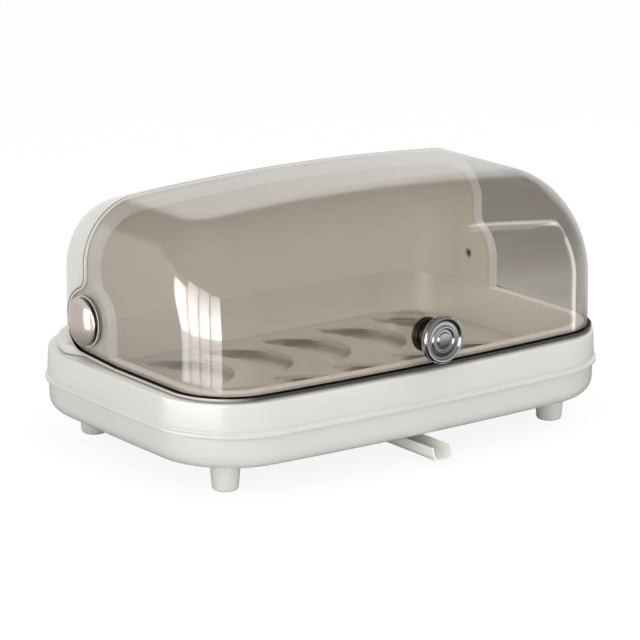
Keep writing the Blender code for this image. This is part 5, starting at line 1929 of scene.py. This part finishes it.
@dataclass
class Knob:
    """Ringed chrome knob on a stepped black collar."""

    finishes: Finishes
    reach: float = 170.0 * MM
    radius: float = 20.1 * MM
    thick: float = 12.5 * MM
    hollow: float = 5.0 * MM
    wall: float = 143.4 * MM
    # Share of the radius, depth under the face and rounding, both in millimetres
    rings: tuple[Triple, ...] = (
        (1.0, 1.8, 1.2), (0.93, 0.0, 0.9), (0.84, 0.3, 0.6), (0.79, 2.2, 0.8), (0.62, 2.0, 0.8),
        (0.58, 0.8, 0.4), (0.50, 0.7, 0.4), (0.46, 2.0, 0.6), (0.34, 1.9, 0.6), (0.30, 0.6, 0.5),
        (0.0, 0.4, 0.0),
    )
    # Radius, distance from the lid's wall and rounding, all in millimetres
    collar_steps: tuple[Triple, ...] = (
        (14.8, 0.0, 0.6), (14.8, 2.6, 0.6), (13.2, 3.2, 0.3), (14.4, 3.8, 0.6), (14.4, 6.2, 0.6),
        (11.6, 6.6, 0.5),
    )

    def build(self) -> None:
        """Builds the collar and the head."""
        low = self.reach - self.thick
        collar = rounded([
            (SCREW_BORE, self.wall, 0.0),
            *((x * MM, self.wall + y * MM, soft * MM) for x, y, soft in self.collar_steps),
            (11.2 * MM, low - SEAT, 0.3 * MM), (SCREW_BORE, low - SEAT, 0.0),
        ], 4)
        head = rounded([
            (SCREW_BORE, self.reach - self.hollow, 0.0), (SCREW_BORE, low, 0.0),
            (11.5 * MM, low, 0.4 * MM), (17.0 * MM, low + 2.2 * MM, 2.5 * MM),
            (self.radius - 0.2 * MM, low + 5.6 * MM, 2.0 * MM),
            *(
                (self.radius * share, self.reach - depth * MM, soft * MM)
                for share, depth, soft in self.rings
            ),
            (0.0, self.reach - self.hollow, 0.0),
        ], 5)
        looks = self.finishes
        for name, profile, finish, slot, node in (
            ("knob_collar_stepped", collar, looks.black, Slot.BLACK, "knob_collar"),
            ("knob_head_ringed", head, looks.chrome, Slot.CHROME, "knob_head"),
        ):
            centre = (0.0, 0.0, PARTING + FlipLid.knob_height)
            turned(name, profile, (0, -1, 0), centre).piece(finish, Body.LID, slot, (node,))


@dataclass
class Spout:
    """Open spout that slides in the guide under the pan."""

    finishes: Finishes
    tip: float = 160.0 * MM
    length: float = 112.0 * MM
    width: float = 20.0 * MM
    depth: float = 11.8 * MM
    wall: float = 1.6 * MM
    slant: float = 2.6 * MM
    slant_end: float = 0.6 * MM
    rim_drop: float = 35.4 * MM
    lip_start: float = 48.0 * MM
    lip_width: float = 2.0 * MM
    lip_thick: float = 1.25 * MM
    lip_drop: float = 0.15 * MM
    lip_root: float = 0.8 * MM

    def build(self) -> None:
        """Builds the channel and its two lips."""
        self.channel()
        for side, word in SIDES:
            self.lip(side, word)

    def channel(self) -> None:
        """Channel with a round bottom: a closed section carried along Y.

        At the tip its walls draw back with the square of their height.
        """
        rim = PARTING - self.rim_drop
        half, low = self.width / 2, rim - self.depth
        inner, corner, soft = half - self.wall, self.depth / 2, 0.6 * MM
        section = rounded([
            (half, rim, soft), (half, low, corner), (-half, low, corner), (-half, rim, soft),
            (-inner, rim, soft), (-inner, low + self.wall, corner - self.wall),
            (inner, low + self.wall, corner - self.wall), (inner, rim, soft),
        ], 10)
        rise = np.clip((section[:, 1] - low) / self.depth, 0.0, 1.0)
        rows = np.stack([
            np.stack([
                section[:, 0] + OUTLET[0], y + share * self.slant * rise ** 2, section[:, 1]
            ], 1)
            for y, share in (
                (-self.tip, 1.0), (self.slant_end - self.tip, 1.0), (self.length - self.tip, 0.0)
            )
        ])
        # Bright white: painted light under the pan
        Shell("spout_channel").bar(rows).piece(
            self.finishes.spout_painted_light_white, Body.SPOUT, Slot.IVORY, ("spout",)
        )

    def lip(self, side: int, word: str) -> None:
        """Lip along the channel's rim that runs in the guide's groove.

        Args:
            side: minus one for the left, one for the right.
            word: which side.
        """
        top = PARTING - self.rim_drop - self.lip_drop
        low = top - self.lip_thick
        root, edge = self.width / 2 - self.lip_root, self.width / 2 + self.lip_width
        section = rounded([
            (root, low, 0.1 * MM), (edge, low, 0.3 * MM), (edge, top, 0.3 * MM),
            (root, top, 0.1 * MM),
        ], 3)
        rows = np.stack([
            np.stack([side * section[:, 0] + OUTLET[0], np.full(len(section), y), section[:, 1]], 1)
            for y in (self.lip_start - self.tip, self.length - self.tip - 0.6 * MM)
        ])
        Shell(f"spout_lip_{word}").bar(rows).piece(
            self.finishes.spout_painted_light_white, Body.SPOUT, Slot.IVORY
        )


def dress_nodes(finishes: Finishes) -> None:
    """Gives every CAD node the material of its slot.

    Args:
        finishes: the object's finishes.
    """
    by_slot = {
        Slot.IVORY.value: finishes.ivory, Slot.BEIGE.value: finishes.beige,
        Slot.SMOKE.value: finishes.smoke, Slot.CHROME.value: finishes.chrome,
        Slot.BLACK.value: finishes.black, Slot.NYLON.value: finishes.nylon,
        Slot.STEEL.value: finishes.steel,
    }
    for entry in frame["record"]["subparts"]:
        node = frame["nodes"][entry["node"]]
        node.data.materials.clear()
        node.data.materials.append(by_slot[entry["material_slot"]])
        LOG.info("%s: %s", entry["node"], entry["material_slot"])


def bearing(degrees: float, rise: float = 0.0) -> Vector:
    """Direction at a bearing from the front towards the right.

    Args:
        degrees: the bearing.
        rise: degrees over the horizon.

    Returns:
        The direction.
    """
    turn, lift = math.radians(degrees), math.radians(rise)
    return Vector((
        math.sin(turn) * math.cos(lift), -math.cos(turn) * math.cos(lift), math.sin(lift)
    ))


@dataclass(frozen=True)
class Lamp:
    """Soft rectangular lamp that either only glossy skins mirror or that lights dull ones.

    Its radiance is its brightness, where one is white, and away is the direction from the
    object to it. Spread is the fan that it shines into, in degrees. Only is the start of the
    names of the objects that it reaches, empty for all.
    """

    name: str
    place: Vector
    away: Vector
    size: Pair
    radiance: float
    mirrored: bool
    only: str = ""
    spread: float = 180.0

    def build(self) -> None:
        """Makes the lamp.

        Its power is its radiance times its area times pi, times one less the ratio of half its
        spread to that half's tangent, which holds the brightness that it has straight on.
        """
        data = bpy.data.lights.new(self.name, "AREA")
        data.shape = "RECTANGLE"
        width, height = self.size
        data.size, data.size_y = width, height
        half = math.radians(self.spread / 2)
        data.spread = 2 * half
        data.energy = self.radiance * width * height * math.pi * (1 - half / math.tan(half))
        item = bpy.data.objects.new(self.name, data)
        bpy.context.scene.collection.objects.link(item)
        item.location = self.place
        item.rotation_euler = (-self.away).to_track_quat("-Z", "Y").to_euler()
        item.visible_camera = False
        item.visible_diffuse = not self.mirrored
        item.visible_glossy = self.mirrored
        if self.only:
            reached = bpy.data.collections.new(f"reached_by_{self.name}")
            for other in bpy.context.scene.objects:
                if other.type == "MESH" and other.name.startswith(self.only):
                    reached.objects.link(other)
            item.light_linking.receiver_collection = reached


@dataclass
class Studio:
    """Pale floor, soft lamps, white surroundings and the camera."""

    azimuth: float = math.radians(-36.16)
    elevation: float = math.radians(14.88)
    distance: float = 2.8629
    side: float = -0.00279
    lift: float = 0.03965
    lens: float = 185.625
    floor_size: float = 6.0
    lamp_away: float = 2.0
    window_place: Triple = (-200.0 * MM, SHIFT_Y - 92.0 * MM, 0.0)
    window_away: float = 0.34
    # Bearing and height of each pane
    window_panes: tuple[Pair, ...] = (
        (-113.0, 0.31), (-92.5, 0.385), (-72.0, 0.40), (-51.5, 0.385),
    )
    window_pane: float = 0.111
    window_bright: Pair = (11.5, 5.6)
    window_foot: float = 2.0 * MM
    window_sill: float = 0.08
    window_gap: float = 1.0 * MM
    window_spread: float = 80.0
    world_veiled: float = 0.38
    world_soft: float = 0.70

    def build(self) -> None:
        """Builds the camera, the floor, the lamps and the world."""
        self.camera()
        self.floor()
        self.lamps()
        self.window()
        self.highlights()
        self.world()

    def camera(self) -> None:
        """Camera at the photograph's angle."""
        back = bearing(math.degrees(self.azimuth), math.degrees(self.elevation))
        right = Vector((math.cos(self.azimuth), math.sin(self.azimuth), 0.0))
        up = back.cross(right)
        data = bpy.data.cameras.new("camera")
        data.sensor_width = 36.0
        data.lens = self.lens
        data.clip_start = 0.05
        data.clip_end = 50.0
        item = bpy.data.objects.new("camera", data)
        bpy.context.scene.collection.objects.link(item)
        turn = Matrix((right, up, back)).transposed()
        place = back * self.distance + right * self.side + up * self.lift
        place += Vector((0.0, SHIFT_Y, PARTING))
        item.matrix_world = Matrix.Translation(place) @ turn.to_4x4()
        bpy.context.scene.camera = item

    def floor(self) -> None:
        """Pale floor far wider than the object."""
        size = self.floor_size
        mesh = bpy.data.meshes.new("floor")
        mesh.from_pydata(
            [(-size, -size, 0.0), (size, -size, 0.0), (size, size, 0.0), (-size, size, 0.0)],
            [], [(0, 1, 2, 3)],
        )
        # Paper, matt: white to the camera, with faint shadows on it
        mesh.materials.append(WhitePaper("floor_white_paper").material())
        item = bpy.data.objects.new("floor", mesh)
        bpy.context.scene.collection.objects.link(item)

    def lamps(self) -> None:
        """Lamps that light dull skins."""
        for name, turn, rise, size, radiance, only in (
            ("overhead", 20.0, 75.0, (2.0, 1.6), 0.75, ""),
            ("left_side", -60.0, 28.0, (1.5, 1.2), 1.15, ""),
            ("front", -12.0, 16.0, (1.6, 1.0), 1.1, ""),
            ("tray_fill", 0.0, 86.0, (1.2, 1.2), 1.6, "tray_"),
            ("spout_fill", -45.0, 12.0, (1.2, 0.8), 1.4, "spout_"),
        ):
            away = bearing(turn, rise)
            Lamp(name, away * self.lamp_away, away, size, radiance, False, only).build()

    def window(self) -> None:
        """Panes of a window at the left, which only glossy skins mirror."""
        for number, (turn, top) in enumerate(self.window_panes):
            away = bearing(turn)
            place = Vector(self.window_place) + away * self.window_away
            for word, radiance, start, end in (
                ("upper", self.window_bright[0], self.window_sill, top),
                ("lower", self.window_bright[1], self.window_foot, self.window_sill - self.window_gap),
            ):
                Lamp(
                    f"window_{word}_{number}", place + Vector((0.0, 0.0, (start + end) / 2)), away,
                    (self.window_pane, end - start), radiance, True, spread=self.window_spread,
                ).build()

    def highlights(self) -> None:
        """Strips at the lid's right end and a pane in the caps, which only glossy skins mirror."""
        for name, start, turn, rise, distance, size, radiance, only in (
            ("strip_low", (0.168, -0.120, 0.151), 60.0, 0.0, 0.3, (0.046, 0.298), 5.2, "lid_sm"),
            ("strip_bend", (0.15, -0.107, 0.185), 63.6, 29.0, 1.6, (0.065, 0.42), 4.5, "lid_sm"),
            ("strip_top", (0.12, -0.103, 0.187), 65.9, 40.0, 1.6, (0.07, 0.34), 3.2, "lid_sm"),
            ("strip_glow", (0.12, -0.107, 0.185), 62.5, 39.5, 1.6, (0.13, 0.24), 1.0, "lid_sm"),
            ("cap_pane", (-0.2185, 0.057, 0.066), -124.0, 0.0, 0.34, (0.075, 0.128), 3.0, "pivot_"),
        ):
            away = bearing(turn, rise)
            Lamp(name, Vector(start) + away * distance, away, size, radiance, True, only).build()

    def world(self) -> None:
        """White surroundings for the camera and for mirror reflections, softer for the rest.

        In mirrors they are bright at the back below a height, and grow darker upwards.
        """
        world = bpy.data.worlds.new("surroundings")
        bpy.context.scene.world = world
        world.use_nodes = True
        tree = world.node_tree
        tree.nodes.clear()
        path = add_node(tree, "ShaderNodeLightPath")
        clear = add_node(
            tree, "ShaderNodeMapRange", {"To Min": 1.0, "To Max": self.world_veiled},
            {"Value": path.outputs["Transparent Depth"]},
        )
        seen = add_node(
            tree, "ShaderNodeMath", {"operation": "MULTIPLY"},
            {0: path.outputs["Is Camera Ray"], 1: clear},
        )
        away = add_node(tree, "ShaderNodeTexCoord").outputs["Generated"]
        parts = add_node(tree, "ShaderNodeSeparateXYZ", {}, {0: away})
        low, behind, upward = (
            add_node(
                tree, "ShaderNodeMapRange",
                {
                    "interpolation_type": "SMOOTHSTEP", "From Min": near, "From Max": far,
                    "To Min": start, "To Max": end,
                },
                {"Value": parts.outputs[axis]},
            )
            for axis, near, far, start, end in (
                ("Z", 0.42, 0.56, 1.0, 0.0), ("Y", -0.1, 0.4, 0.0, 1.0), ("Z", -0.25, 0.4, 0.9, 0.3)
            )
        )
        backdrop = add_node(
            tree, "ShaderNodeMath", {"operation": "MULTIPLY"}, {0: low, 1: behind}
        )
        mirrored = add_node(
            tree, "ShaderNodeMath", {"operation": "MAXIMUM"}, {0: backdrop, 1: upward}
        )
        lit = add_node(
            tree, "ShaderNodeMix", {"data_type": "FLOAT", 2: self.world_soft},
            {0: path.outputs["Is Glossy Ray"], 3: mirrored},
        )
        strength = add_node(
            tree, "ShaderNodeMix", {"data_type": "FLOAT"},
            {0: path.outputs["Is Camera Ray"], 2: lit, 3: seen},
        )
        shader = add_node(
            tree, "ShaderNodeBackground", {"Color": linear("FFFFFF")}, {"Strength": strength}
        )
        add_node(tree, "ShaderNodeOutputWorld", {}, {"Surface": shader})


def main() -> None:
    """Builds every sub-assembly in order, then the studio."""
    logging.basicConfig(level=logging.INFO, format="%(name)s: %(message)s")
    bpy.context.scene.view_settings.view_transform = "Standard"
    finishes = Finishes()
    dress_nodes(finishes)
    for part in (Base, Tray, RearCover, FlipLid, Pivots, Knob, Spout):
        part(finishes).build()
        LOG.info("%s built", part.__name__)
    Studio().build()


if __name__ == "__main__":
    main()
